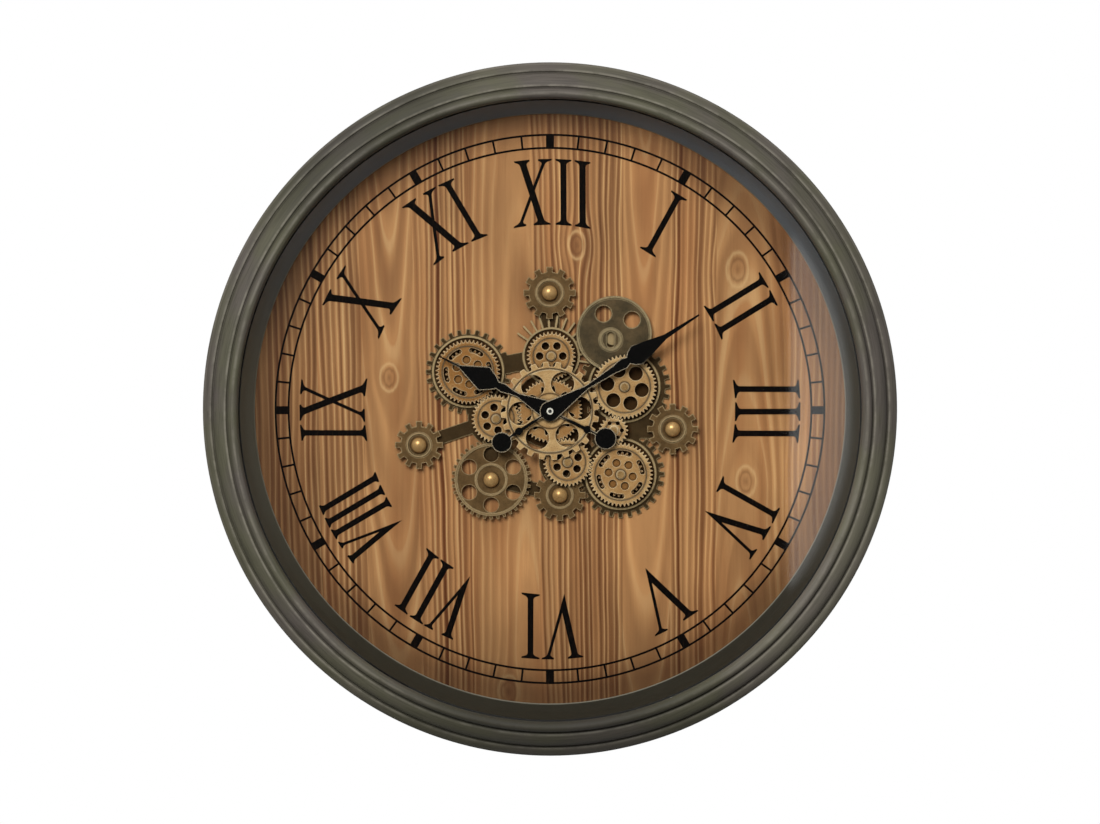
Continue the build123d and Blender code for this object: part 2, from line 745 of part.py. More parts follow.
def wheel_body(wheel, holes, bore=STUD_R + RUNNING_FIT):
    # teeth and rim at full height, web set back, hub raised
    face = gear_face(wheel.teeth, wheel.phase) - Circle(bore)
    web = root_radius(wheel.teeth) - RIM_W
    body = slab(face - holes, WHEEL_LOW, WHEEL_TOP)
    recess = Circle(web) - Circle(HUB_R)
    body -= slab(recess, WHEEL_TOP - WEB_DROP, WHEEL_TOP)
    body += tube(HUB_R, bore, WHEEL_TOP, HUB_TOP)
    return Pos(*wheel.at) * body


def round_holes(radius, distance, phase, count=HOLE_COUNT):
    return [Pos(*polar(distance, phase + k * 360 / count)) * Circle(radius) for k in range(count)]


def arc_slots(phase):
    slots = []
    for k in range(HOLE_COUNT):
        first = phase + k * 360 / HOLE_COUNT - SLOT_ARC / 2
        middle = CenterArc((0, 0), SLOT_AT, first, SLOT_ARC)
        slots.append(SlotArc(middle, SLOT_W))
    return slots


def small_wheel(wheel, phase):
    return wheel_body(wheel, round_holes(SMALL_HOLE_R, SMALL_HOLE_AT, phase))


def slotted_wheel(wheel, phase):
    holes = round_holes(SLOTTED_HOLE_R, SLOTTED_HOLE_AT, phase) + arc_slots(phase + 180 / HOLE_COUNT)
    return wheel_body(wheel, holes)


def rear_wheel(wheel):
    bore = STUD_R + RUNNING_FIT
    face = toothed(
        REAR_WHEEL_TEETH, REAR_WHEEL_ROOT_R, REAR_WHEEL_TIP_R, REAR_ROOT_SHARE, REAR_TIP_SHARE, wheel.phase
    )
    return slab(face - Circle(bore), WHEEL_LOW - REAR_WHEEL_T, WHEEL_LOW, wheel.at)


def idler_wheel():
    return wheel_body(idler, round_holes(IDLER_HOLE_R, IDLER_HOLE_AT, 0))


def upper_right_wheel():
    holes = round_holes(LARGE_HOLE_R, LARGE_HOLE_AT, UPPER_RIGHT_HOLES)
    return wheel_body(upper_right, holes, bore=DRIVE_ARBOR_R)


def lens_face(angle):
    # pointed oval from two arcs, its long axis along the radius
    half = LENS_L / 2
    sides = [ThreePointArc((-half, 0), (0, s * LENS_W / 2), (half, 0)) for s in (-1, 1)]
    return Rot(0, 0, angle) * Pos(LENS_AT, 0) * make_face(sides)


def centre_wheel():
    face = gear_face(centre.teeth, centre.phase) - Circle(COLLAR_R + RUNNING_FIT)
    spokes = [WINDOW_PHASE + (k + 0.5) * 360 / HOLE_COUNT for k in range(HOLE_COUNT)]
    lenses = [lens_face(spoke + side * LENS_SPREAD) for spoke in spokes for side in (-1, 1)]
    body = slab(face - lenses, WHEEL_LOW, WHEEL_TOP)
    return body + tube(CENTRE_HUB_R, COLLAR_R + RUNNING_FIT, WHEEL_TOP, FRONT_LOW)


def centre_front_wheel():
    face = toothed(
        FRONT_TEETH, FRONT_ROOT_R, FRONT_TIP_R, COARSE_ROOT_SHARE, COARSE_TIP_SHARE, WINDOW_PHASE
    )
    face -= Circle(COLLAR_R + RUNNING_FIT)
    windows = round_holes(WINDOW_R, WINDOW_AT, WINDOW_PHASE)
    body = slab(face - windows, FRONT_LOW, FRONT_TOP)
    return body - slab(ring_face((0, 0), FRONT_LINE_R, FRONT_LINE_W), FRONT_TOP - FRONT_LINE_D, FRONT_TOP)


def wheel_studs():
    studs = []
    for wheel in STUDDED:
        low = WHEEL_LOW - (REAR_WHEEL_T if wheel in (upper_left, lower_right) else 0)
        stud = rod(STUD_R, DIAL_FRONT, HEAD_LOW) + rod(STUD_HEAD_R, HEAD_LOW, HEAD_TOP)
        stud += tube(STUD_COLLAR_R, STUD_R, PLATE_TOP, low - END_PLAY)
        studs.append(Pos(*wheel.at) * stud)
    return studs


def centre_collar():
    # stepped sleeve over the bush nut, on which the centre wheel turns
    nut_room = BUSH_NUT_FLATS / 2 / cos(radians(30)) + LOOSE_FIT
    foot_top = PLATE_TOP + COLLAR_FOOT_H
    bore = HOUR_TUBE_R + LOOSE_FIT
    return turned(
        (nut_room, PLATE_TOP),
        (COLLAR_FOOT_R, PLATE_TOP),
        (COLLAR_FOOT_R, foot_top),
        (COLLAR_R, foot_top),
        (COLLAR_R, CLIP_TOP),
        (bore, CLIP_TOP),
        (bore, PLATE_TOP + BUSH_NUT_H + LOOSE_FIT),
        (nut_room, PLATE_TOP + BUSH_NUT_H + LOOSE_FIT),
    )


def collar_clip():
    return tube(COLLAR_CLIP_R, COLLAR_R, CLIP_LOW, CLIP_TOP)


# Quartz movement

MOVEMENT_BACK = DIAL_BACK - MOVEMENT_DEPTH
MOVEMENT_FLOOR = DIAL_BACK - BOX_WALL
CELL_BAY = 2 * (CELL_R + CELL_ROOM)
CELL_LEVEL = MOVEMENT_FLOOR - CELL_R - CELL_ROOM
MOTION_LOW = MOVEMENT_BACK + 2 * MOTION_GAP
HOUR_WHEEL_LOW = MOTION_LOW + MOTION_T + MOTION_GAP


def box_shell(width, height, depth, middle, bay_middle, floor_holes):
    # open box with its floor against the dial and a wall between the cell's bay and the works
    outer = RectangleRounded(width, height, BOX_CORNER_R)
    body = slab(outer, DIAL_BACK - depth, DIAL_BACK, middle)
    inside_w = width - 2 * BOX_WALL
    lower = middle[1] - height / 2 + BOX_WALL
    wall = bay_middle + CELL_BAY / 2
    upper = middle[1] + height / 2 - BOX_WALL
    for low, high in ((lower, wall), (wall + BOX_WALL, upper)):
        room = Rectangle(inside_w, high - low)
        body -= slab(room, DIAL_BACK - depth, DIAL_BACK - BOX_WALL, (middle[0], (low + high) / 2))
    return body - floor_holes


def box_cover(width, depth, middle_x, low, high, hole):
    face = RectangleRounded(width, high - low, BOX_CORNER_R)
    back = DIAL_BACK - depth
    plate = slab(face, back - COVER_T, back, (middle_x, (low + high) / 2))
    return plate - hole


def dry_cell(length, middle_x, middle_y):
    # plain cylinder cell lying along X, its tip to the right
    body = Cylinder(CELL_R, length) + Pos(0, 0, length / 2) * Cylinder(CELL_TIP_R, CELL_TIP_H, align=LOW)
    return Pos(middle_x - CELL_TIP_H / 2, middle_y, CELL_LEVEL) * Rot(0, 90, 0) * body


def cell_contacts(length, middle_x, middle_y):
    # a flat spring plate at each end of the cell
    reach = (length + CELL_TIP_H) / 2
    plate = Box(CONTACT_T, CONTACT_W, CONTACT_W)
    return [
        Pos(middle_x + side * (reach + CONTACT_T / 2), middle_y, CELL_LEVEL) * plate for side in (-1, 1)
    ]


movement_cell = MOVEMENT_W - 2 * BOX_WALL - CELL_END_ROOM
movement_middle = (0.0, MOVEMENT_W / 2 - MOVEMENT_DROP)
movement_bay = -MOVEMENT_DROP + BOX_WALL + CELL_BAY / 2
movement_split = movement_bay + CELL_BAY / 2


def movement_case():
    hole = rod(BUSH_R, MOVEMENT_FLOOR, DIAL_BACK)
    return box_shell(MOVEMENT_W, MOVEMENT_W, MOVEMENT_DEPTH, movement_middle, movement_bay, hole)


def movement_cover():
    hole = rod(KNOB_STEM_R + RUNNING_FIT, MOVEMENT_BACK - COVER_T, MOVEMENT_BACK, minute_wheel.at)
    upper = MOVEMENT_W - MOVEMENT_DROP
    return box_cover(MOVEMENT_W, MOVEMENT_DEPTH, 0, movement_split, upper, hole)


def movement_bush():
    bore = HOUR_TUBE_R + RUNNING_FIT
    sleeve = tube(BUSH_R, bore, MOVEMENT_FLOOR, PLATE_TOP + BUSH_NUT_H)
    return sleeve + tube(BUSH_FLANGE_R, bore, MOVEMENT_FLOOR - BUSH_FLANGE_H, MOVEMENT_FLOOR)


def bush_nut():
    return slab(hexagon(BUSH_NUT_FLATS) - Circle(BUSH_R), PLATE_TOP, PLATE_TOP + BUSH_NUT_H)


def minute_arbor():
    arbor = rod(MINUTE_ARBOR_R, MOVEMENT_BACK + MOTION_GAP, NUT_TOP)
    pinion = gear_face(CANNON_TEETH, cannon.phase, MOTION_MODULE, MOTION_SHARE)
    return arbor + slab(pinion, MOTION_LOW, MOTION_LOW + MOTION_T)


def motion_wheel():
    # the wheel turned by the minute pinion, with the small pinion that turns the hour wheel
    low = MOVEMENT_BACK - COVER_T - END_PLAY
    stem = rod(KNOB_STEM_R, low, MOTION_LOW) + rod(MINUTE_ARBOR_R, MOTION_LOW, MOVEMENT_FLOOR - MOTION_GAP)
    wheel = slab(
        gear_face(MINUTE_TEETH, minute_wheel.phase, MOTION_MODULE, MOTION_SHARE),
        MOTION_LOW,
        MOTION_LOW + MOTION_T,
    )
    pinion = slab(
        gear_face(MINUTE_PINION_TEETH, minute_pinion.phase, hour_module, MOTION_SHARE),
        MOTION_LOW + MOTION_T,
        HOUR_WHEEL_LOW + MOTION_T,
    )
    return Pos(*minute_wheel.at) * (stem + wheel + pinion)


def setting_knob():
    top_level = MOVEMENT_BACK - COVER_T - END_PLAY
    face = toothed(KNOB_TEETH, KNOB_R - KNOB_GROOVE, KNOB_R, KNOB_ROOT_SHARE, KNOB_TIP_SHARE)
    return slab(face, top_level - KNOB_H, top_level, minute_wheel.at)


def hour_tube():
    bore = MINUTE_ARBOR_R + RUNNING_FIT
    wheel = gear_face(HOUR_TEETH, hour_wheel.phase, hour_module, MOTION_SHARE) - Circle(bore)
    return slab(wheel, HOUR_WHEEL_LOW, HOUR_WHEEL_LOW + MOTION_T) + tube(
        HOUR_TUBE_R, bore, HOUR_WHEEL_LOW + MOTION_T, HOUR_TOP
    )


def movement_coil():
    x = -MOVEMENT_W / 2 + BOX_WALL + COIL_SIDE_GAP + COIL_FLANGE_W / 2
    coil = Cylinder(COIL_R, COIL_L)
    for side in (-1, 1):
        flange = Box(COIL_FLANGE_W, COIL_FLANGE_W, COIL_FLANGE_T)
        coil += Pos(0, 0, side * (COIL_L + COIL_FLANGE_T) / 2) * flange
    level = MOVEMENT_FLOOR - BOARD_T - COIL_FLANGE_W / 2
    return Pos(x, movement_middle[1] + COIL_FLANGE_W, level) * Rot(90, 0, 0) * coil


def movement_board():
    x = -MOVEMENT_W / 2 + BOX_WALL + COIL_SIDE_GAP + COIL_FLANGE_W / 2
    face = Rectangle(BOARD_W, BOARD_L)
    return slab(face, MOVEMENT_FLOOR - BOARD_T, MOVEMENT_FLOOR, (x, movement_middle[1] + COIL_FLANGE_W))


# Hands

def hand_face(angle, stations, knuckle_at, tail_at, tail_r):
    upper = list(stations)
    lower = [(s, -w) for s, w in reversed(stations)]
    blade = make_face(Polyline((0, HAND_BOSS_R), *upper, *lower, (0, -HAND_BOSS_R), close=True))
    widest = max(w for s, w in stations)
    shoulders = blade.vertices().filter_by(lambda v: abs(abs(v.Y) - widest) < LOOSE_FIT)
    blade = fillet(shoulders, SHOULDER_ROUND)
    face = blade + Circle(HAND_BOSS_R)
    face += Pos(-tail_at / 2, 0) * Rectangle(tail_at, TAIL_ROD_W)
    face += Pos(-knuckle_at, 0) * Ellipse(TAIL_KNUCKLE_L / 2, TAIL_KNUCKLE_W / 2)
    face += Pos(-tail_at, 0) * Circle(tail_r)
    return Rot(0, 0, angle) * face


def hour_hand():
    face = hand_face(HOUR_ANGLE, HOUR_STATIONS, HOUR_TAIL_KNUCKLE, HOUR_TAIL_AT, HOUR_TAIL_R)
    return slab(face - Circle(HOUR_TUBE_R), HOUR_LOW, HOUR_TOP)


def minute_hand():
    face = hand_face(MINUTE_ANGLE, MINUTE_STATIONS, MINUTE_TAIL_KNUCKLE, MINUTE_TAIL_AT, MINUTE_TAIL_R)
    return slab(face - Circle(MINUTE_ARBOR_R), MINUTE_LOW, MINUTE_TOP)


def hand_nut():
    return tube(HAND_NUT_R, MINUTE_ARBOR_R, MINUTE_TOP, NUT_TOP)


# Drive unit that turns the upper right wheel

DRIVE_BACK = DIAL_BACK - DRIVE_DEPTH
DRIVE_FLOOR = DIAL_BACK - BOX_WALL
DRIVE_W = DRIVE_LEFT + DRIVE_RIGHT
drive_cell = DRIVE_W - 2 * BOX_WALL - DRIVE_END_ROOM
drive_split = upper_right.at[1] - DRIVE_CHAMBER
drive_low = drive_split - CELL_BAY - BOX_WALL
drive_high = upper_right.at[1] + DRIVE_UP
drive_middle = (upper_right.at[0] + (DRIVE_RIGHT - DRIVE_LEFT) / 2, (drive_low + drive_high) / 2)
drive_bay = drive_split - CELL_BAY / 2
DRIVE_WHEEL_LOW = DRIVE_FLOOR - END_PLAY - DRIVE_WHEEL_T
MOTOR_TOP = DRIVE_WHEEL_LOW - MOTION_GAP


def drive_case():
    hole = rod(DRIVE_ARBOR_R + RUNNING_FIT, DRIVE_FLOOR, DIAL_BACK, upper_right.at)
    height = drive_high - drive_low
    return box_shell(DRIVE_W, height, DRIVE_DEPTH, drive_middle, drive_bay, hole)


def drive_cover():
    hole = rod(DRIVE_ARBOR_R + RUNNING_FIT, DRIVE_BACK - COVER_T / 2, DRIVE_BACK, upper_right.at)
    return box_cover(DRIVE_W, DRIVE_DEPTH, drive_middle[0], drive_split, drive_high, hole)


def drive_arbor():
    arbor = rod(DRIVE_ARBOR_R, DRIVE_BACK - COVER_T / 2 + END_PLAY, HEAD_LOW)
    return Pos(*upper_right.at) * (arbor + rod(STUD_HEAD_R, HEAD_LOW, HEAD_TOP))


def drive_wheel_body():
    face = gear_face(DRIVE_TEETH, drive_wheel.phase, DRIVE_MODULE, MOTION_SHARE)
    low = DRIVE_WHEEL_LOW
    return slab(face - Circle(DRIVE_ARBOR_R), low, low + DRIVE_WHEEL_T, drive_wheel.at)


def drive_motor():
    bore = MOTOR_SHAFT_R + RUNNING_FIT
    can = tube(MOTOR_R, bore, MOTOR_TOP - MOTOR_H, MOTOR_TOP)
    foot = Rectangle(2 * MOTOR_R, MOTOR_R)
    stand = slab(foot, DRIVE_BACK, MOTOR_TOP - MOTOR_H)
    return Pos(*motor_pinion.at) * (can + stand)


def motor_pinion_body():
    face = gear_face(PINION_TEETH, motor_pinion.phase, DRIVE_MODULE, MOTION_SHARE)
    low = MOTOR_TOP + END_PLAY
    shaft = rod(MOTOR_SHAFT_R, MOTOR_TOP - MOTOR_H + END_PLAY, low)
    return Pos(*motor_pinion.at) * (shaft + slab(face, low, DRIVE_FLOOR - END_PLAY))


# Stand the clock up and write one file for each node

NODES = {
    "frame_ring": frame_ring,
    "frame_band": frame_band,
    "glass_pane": glass_pane,
    "glass_seal": glass_seal,
    "spacer_ring": spacer_ring,
    "dial_board": dial_board,
    "dial_clips": dial_clips,
    "clip_screws": clip_screws,
    "hanger_bracket": hanger_bracket,
    "hanger_screws": hanger_screws,
    "mechanism_plate": mechanism_plate,
    "top_cog": lambda: small_cog(top_cog),
    "left_cog": lambda: small_cog(left_cog),
    "lower_left_cog": lower_left_wheel,
    "bottom_cog": lambda: small_cog(bottom_cog),
    "right_cog": lambda: small_cog(right_cog),
    "upper_right_disc": upper_right_disc,
    "dome_nuts": dome_nuts,
    "cog_studs": cog_studs,
    "stud_nuts": stud_nuts,
    "wheel_studs": wheel_studs,
    "centre_collar": centre_collar,
    "collar_clip": collar_clip,
    "centre_wheel": centre_wheel,
    "centre_front_wheel": centre_front_wheel,
    "top_wheel": lambda: small_wheel(top, TOP_HOLES),
    "left_wheel": lambda: small_wheel(left, LEFT_HOLES),
    "bottom_wheel": lambda: small_wheel(bottom, BOTTOM_HOLES),
    "upper_left_wheel": lambda: slotted_wheel(upper_left, UPPER_LEFT_HOLES),
    "upper_left_rear_wheel": lambda: rear_wheel(upper_left),
    "lower_right_wheel": lambda: slotted_wheel(lower_right, LOWER_RIGHT_HOLES),
    "lower_right_rear_wheel": lambda: rear_wheel(lower_right),
    "idler_wheel": idler_wheel,
    "upper_right_wheel": upper_right_wheel,
    "movement_case": movement_case,
    "movement_cover": movement_cover,
    "movement_bush": movement_bush,
    "bush_nut": bush_nut,
    "movement_battery": lambda: dry_cell(movement_cell, 0, movement_bay),
    "movement_contacts": lambda: cell_contacts(movement_cell, 0, movement_bay),
    "movement_board": movement_board,
    "movement_coil": movement_coil,
    "motion_wheel": motion_wheel,
    "setting_knob": setting_knob,
    "hour_tube": hour_tube,
    "minute_arbor": minute_arbor,
    "hour_hand": hour_hand,
    "minute_hand": minute_hand,
    "hand_nut": hand_nut,
    "drive_case": drive_case,
    "drive_cover": drive_cover,
    "drive_arbor": drive_arbor,
    "drive_wheel": drive_wheel_body,
    "drive_motor": drive_motor,
    "motor_pinion": motor_pinion_body,
    "drive_battery": lambda: dry_cell(drive_cell, drive_middle[0], drive_bay),
    "drive_contacts": lambda: cell_contacts(drive_cell, drive_middle[0], drive_bay),
}

STAND = Pos(0, 0, -HANGER_HEIGHT) * Rot(90, 0, 0)


def write_nodes():
    os.makedirs("parts", exist_ok=True)
    for name, make in NODES.items():
        made = make()
        solids = made if isinstance(made, list) else [made]
        placed = [STAND * solid for solid in solids]
        node = placed[0] if len(placed) == 1 else Compound(children=placed)
        export_step(node, os.path.join("parts", f"{name}.step"))


if __name__ == "__main__":
    write_nodes()
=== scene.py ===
import json
import math

import bpy
import numpy as np
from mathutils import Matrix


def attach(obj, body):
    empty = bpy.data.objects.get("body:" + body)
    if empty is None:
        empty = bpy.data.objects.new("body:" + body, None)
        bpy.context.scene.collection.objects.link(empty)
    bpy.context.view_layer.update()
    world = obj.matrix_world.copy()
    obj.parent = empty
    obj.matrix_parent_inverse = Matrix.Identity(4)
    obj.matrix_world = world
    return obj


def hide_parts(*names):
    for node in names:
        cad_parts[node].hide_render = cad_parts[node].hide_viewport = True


# Round wall clock. Flat cut pieces keep their CAD meshes with softened edges; turned, printed and screwed
# pieces are surfaces made here. Sizes are clock millimetres: x right, y up the dial, z off the wall.
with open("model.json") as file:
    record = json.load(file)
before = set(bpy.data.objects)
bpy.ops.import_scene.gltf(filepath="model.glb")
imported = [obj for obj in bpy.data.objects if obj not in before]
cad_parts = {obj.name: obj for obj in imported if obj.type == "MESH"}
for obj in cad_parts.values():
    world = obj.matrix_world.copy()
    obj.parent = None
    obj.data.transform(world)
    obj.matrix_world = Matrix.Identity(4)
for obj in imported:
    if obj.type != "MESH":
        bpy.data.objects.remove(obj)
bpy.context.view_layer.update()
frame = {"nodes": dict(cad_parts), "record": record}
scene = bpy.context.scene
keyholeUp = 215.0  # from the hands' axis up to the row's origin
print("frame loaded", len(frame["nodes"]), "nodes")


def place(points):
    # clock mm to row metres: (x, -z, y - keyholeUp) / 1000
    p = np.asarray(points, float)
    return np.stack((p[..., 0], -p[..., 2], p[..., 1] - keyholeUp), axis=-1) / 1000.0


def gridFaces(rows, cols, closed=True):
    # one quad for each cell of a grid of points; each row runs on to its own start, closed columns too
    i, j = np.meshgrid(np.arange(rows if closed else rows - 1), np.arange(cols), indexing="ij")
    a, b = (i + 1) % rows, (j + 1) % cols
    return np.stack((i * cols + j, a * cols + j, a * cols + b, i * cols + b), axis=-1).reshape(-1, 4)


def outward(points, faces):
    # enclosed volume = sum of p0 . (p1 x p2) / 6 over the triangles; a negative one turns the faces round
    a, b, c, d = (points[faces[:, k]] for k in range(4))
    volume = np.einsum("ij,ij->", a, np.cross(b, c)) + np.einsum("ij,ij->", a, np.cross(c, d))
    return faces if volume > 0 else faces[:, ::-1]


def solid(name, patches, look, stands=(), body="clock_case", sharp=32.0):
    # patches are (points, quads); equal points are merged, and a quad that loses a corner becomes a triangle
    starts = np.cumsum([0] + [len(p) for p, f in patches])
    points = place(np.concatenate([p for p, f in patches]))
    faces = np.concatenate([outward(place(p), f) + s for (p, f), s in zip(patches, starts)])
    keys, index = np.unique(np.round(points * 1e7).astype(np.int64), axis=0, return_inverse=True)
    index = index.ravel()
    merged = np.zeros((len(keys), 3))
    merged[index] = points
    faces = index[faces]
    same = faces == np.roll(faces, -1, axis=1)
    whole = faces[~same.any(axis=1)]
    thin = same.sum(axis=1) == 1
    lost = same[thin].argmax(axis=1)
    corners = np.arange(len(lost))
    triangles = np.stack([faces[thin][corners, (lost + k) % 4] for k in (1, 2, 3)], axis=1)
    mesh = bpy.data.meshes.new(name)
    mesh.from_pydata(merged.tolist(), [], whole.tolist() + triangles.tolist())
    mesh.polygons.foreach_set("use_smooth", np.ones(len(mesh.polygons), bool))
    mesh.set_sharp_from_angle(angle=math.radians(sharp))
    mesh.materials.append(look)
    obj = bpy.data.objects.new(name, mesh)
    scene.collection.objects.link(obj)
    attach(obj, body)
    if stands:
        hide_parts(*stands)
    print("made", name, len(mesh.polygons), "faces")


def arc(centre, radii, fromDeg, toDeg, count):
    # part of an ellipse: centre + radii * (cos a, sin a)
    a = np.radians(np.linspace(fromDeg, toDeg, count))
    return np.stack((centre[0] + radii[0] * np.cos(a), centre[1] + radii[1] * np.sin(a)), axis=1)


def softened(corners, cut, steps):
    # each corner p becomes the curve (1-t)^2 a + 2t(1-t) p + t^2 b, from a cut before it to a cut after it
    p = np.asarray(corners, float)

    def toward(q):
        gap = np.linalg.norm(q - p, axis=1, keepdims=True)
        return p + (q - p) * np.minimum(cut / gap, 0.45)

    a, b = toward(np.roll(p, 1, axis=0))[:, None], toward(np.roll(p, -1, axis=0))[:, None]
    t = np.linspace(0, 1, steps)[None, :, None]
    return ((1 - t) ** 2 * a + 2 * t * (1 - t) * p[:, None] + t**2 * b).reshape(-1, p.shape[1])


def around(steps):
    # even angles of a full turn
    return np.linspace(0, 2 * np.pi, steps, endpoint=False)


def turned(profile, t, at=(0.0, 0.0), swell=0.0):
    # a closed profile (r, z) turned by the angles t about the axis through at: x = r cos t, y = r sin t, with
    # r + swell(t)
    p = np.asarray(profile, float)
    r = p[:, :1] + swell
    z = np.repeat(p[:, 1:], len(t), axis=1)
    points = np.stack((at[0] + r * np.cos(t), at[1] + r * np.sin(t), z), axis=-1)
    return points.reshape(-1, 3), gridFaces(len(p), len(t))


def tone(r, g, b):
    # screen colour 0-255 to linear
    c = np.array((r, g, b)) / 255.0
    lin = np.where(c <= 0.04045, c / 12.92, ((c + 0.055) / 1.055) ** 2.4)
    return (*(float(v) for v in lin), 1.0)


class Shade:
    # one socket of a node tree: sums on it add Math nodes
    def __init__(self, tree, socket=None):
        self.tree, self.socket = tree, socket

    def node(self, kind, settings=None, sockets=None, out=0):
        # any node: its settings first, a ramp's stops among them, then the values or links of its sockets
        made = self.tree.nodes.new("ShaderNode" + kind)
        for key, value in (settings or {}).items():
            if key == "stops":
                self.hold(made.color_ramp, value)
            else:
                setattr(made, key, value)
        for key, value in (sockets or {}).items():
            if isinstance(value, Shade):
                self.tree.links.new(value.socket, made.inputs[key])
            else:
                made.inputs[key].default_value = value
        return Shade(self.tree, made.outputs[out] if len(made.outputs) else None)

    def hold(self, ramp, stops):
        # constant steps: each (position, colour) holds until the next one
        ramp.interpolation = "CONSTANT"
        while len(ramp.elements) < len(stops):
            ramp.elements.new(1.0)
        for element, (position, colour) in zip(ramp.elements, stops):
            element.position, element.color = position, (*colour, 1.0)

    def math(self, kind, a, b=0.0):
        return self.node("Math", {"operation": kind}, {0: a, 1: b})

    def __add__(self, other):
        return self.math("ADD", self, other)

    def __sub__(self, other):
        return self.math("SUBTRACT", self, other)

    def __rsub__(self, other):
        return self.math("SUBTRACT", other, self)

    def __mul__(self, other):
        return self.math("MULTIPLY", self, other)

    def __truediv__(self, other):
        return self.math("DIVIDE", self, other)

    def __abs__(self):
        return self.math("ABSOLUTE", self)

    __radd__ = __add__
    __rmul__ = __mul__

    def step(self, low, high):
        # smooth 0 to 1 as the value goes from low to high, or from high to low if low is the larger
        ends = {"From Min": min(low, high), "From Max": max(low, high), "To Min": 0.0, "To Max": 1.0}
        if low > high:
            ends.update({"To Min": 1.0, "To Max": 0.0})
        return self.node("MapRange", {"interpolation_type": "SMOOTHSTEP"}, {"Value": self, **ends})

    def reach(self, other):
        # length of the line whose two parts are the values
        return self.math("SQRT", self * self + other * other)

    def bell(self, at, fall):
        # exp(-fall * (value - at)^2)
        off = self - at
        return self.math("EXPONENT", off * off * -fall)

    def blend(self, a, b):
        # colour a where the value is 0, b where it is 1; a plain triple is a screen colour
        a, b = (v if isinstance(v, Shade) else tone(*v) for v in (a, b))
        return self.node("Mix", {"data_type": "RGBA"}, {0: self, 6: a, 7: b}, 2)

    def scaled(self, factor):
        return self.node("VectorMath", {"operation": "SCALE"}, {0: self, "Scale": factor})

    def spot(self, x, y, z):
        return self.node("CombineXYZ", {}, {0: x, 1: y, 2: z})

    def noise(self, vector, detail=2.0, rough=0.5):
        return self.node("TexNoise", {}, {"Vector": vector, "Scale": 1.0, "Detail": detail, "Roughness": rough})

    def noise1(self, w, detail=1.0):
        return self.node("TexNoise", {"noise_dimensions": "1D"}, {"W": w, "Scale": 1.0, "Detail": detail})

    def bump(self, distance):
        return self.node("Bump", {}, {"Height": self, "Distance": distance, "Strength": 1.0})

    def split(self, kind="SeparateXYZ"):
        parts = self.node(kind, {}, {0: self}).socket.node
        return [Shade(self.tree, parts.outputs[k]) for k in range(3)]

    def ramp(self, stops):
        return self.node("ValToRGB", {"stops": stops}, {0: self}).split("SeparateColor")


def newLook(name):
    # an empty material and the Shade that adds nodes to it
    look = bpy.data.materials.new(name)
    look.use_nodes = True
    look.node_tree.nodes.clear()
    return look, Shade(look.node_tree)


def dress(look, paint, sockets):
    # the material's Principled shader with its values and links
    shader = paint.node("BsdfPrincipled", {}, sockets)
    paint.node("OutputMaterial", {}, {"Surface": shader})
    return look


def clockPlace(paint):
    # clock mm from object coordinates
    x, y, z = paint.node("TexCoord", {}, {}, "Object").split()
    return x * 1000.0, z * 1000.0 + keyholeUp, y * -1000.0


def facing(paint):
    # 1 where the surface faces the viewer or the wall, 0 on walls
    return abs(paint.node("NewGeometry", {}, {}, "Normal").split()[1])


def roundedEdgeMask(paint, radius):
    # 1 along edges, where the normal rounded over a small radius leaves the face's own normal
    rounded = paint.node("Bevel", {"samples": 4}, {"Radius": radius})
    true = paint.node("NewGeometry", {}, {}, "True Normal")
    return paint.node("VectorMath", {"operation": "DOT_PRODUCT"}, {0: rounded, 1: true}, "Value").step(0.997, 0.92)


# Frame paint: charcoal that drifts between olive and mauve, brushed round the ring, rubbed paler with a painted
# highlight along the crests, painted shade in the grooves, painted shade towards the foot and most on the inner bead
# there, painted shade about one angle at the upper left, painted light about another at the right; a crest is (radius,
# half width, strength), a pair is the y, radius or height over which a thing sets in
frameLook = {
    "olive": (80, 78, 62),
    "mauve": (82, 76, 70),
    "dark": (38, 36, 28),
    "scuffed": (112, 106, 92),
    "rubbedAndLit": (150, 144, 130),
    "grooveShadeTone": (28, 26, 21),
    "crests": ((272.4, 1.2, 0.25), (279.2, 1.0, 0.45), (292.4, 1.2, 0.4), (298.6, 0.9, 0.2)),
    "crestsFrom": (46.0, 49.0),
    "grooves": (277.4, 291.0),
    "groovesFrom": (50.0, 54.0),
    "grooveFall": 0.8,
    "foot": (-225.0, -292.0),
    "innerBead": (284.0, 277.0),
    "beadFoot": (-215.0, -270.0),
    "upperLeftShade": math.radians(125.0),
    "litStretch": math.radians(-30.0),
    "bump": 0.0002,
}


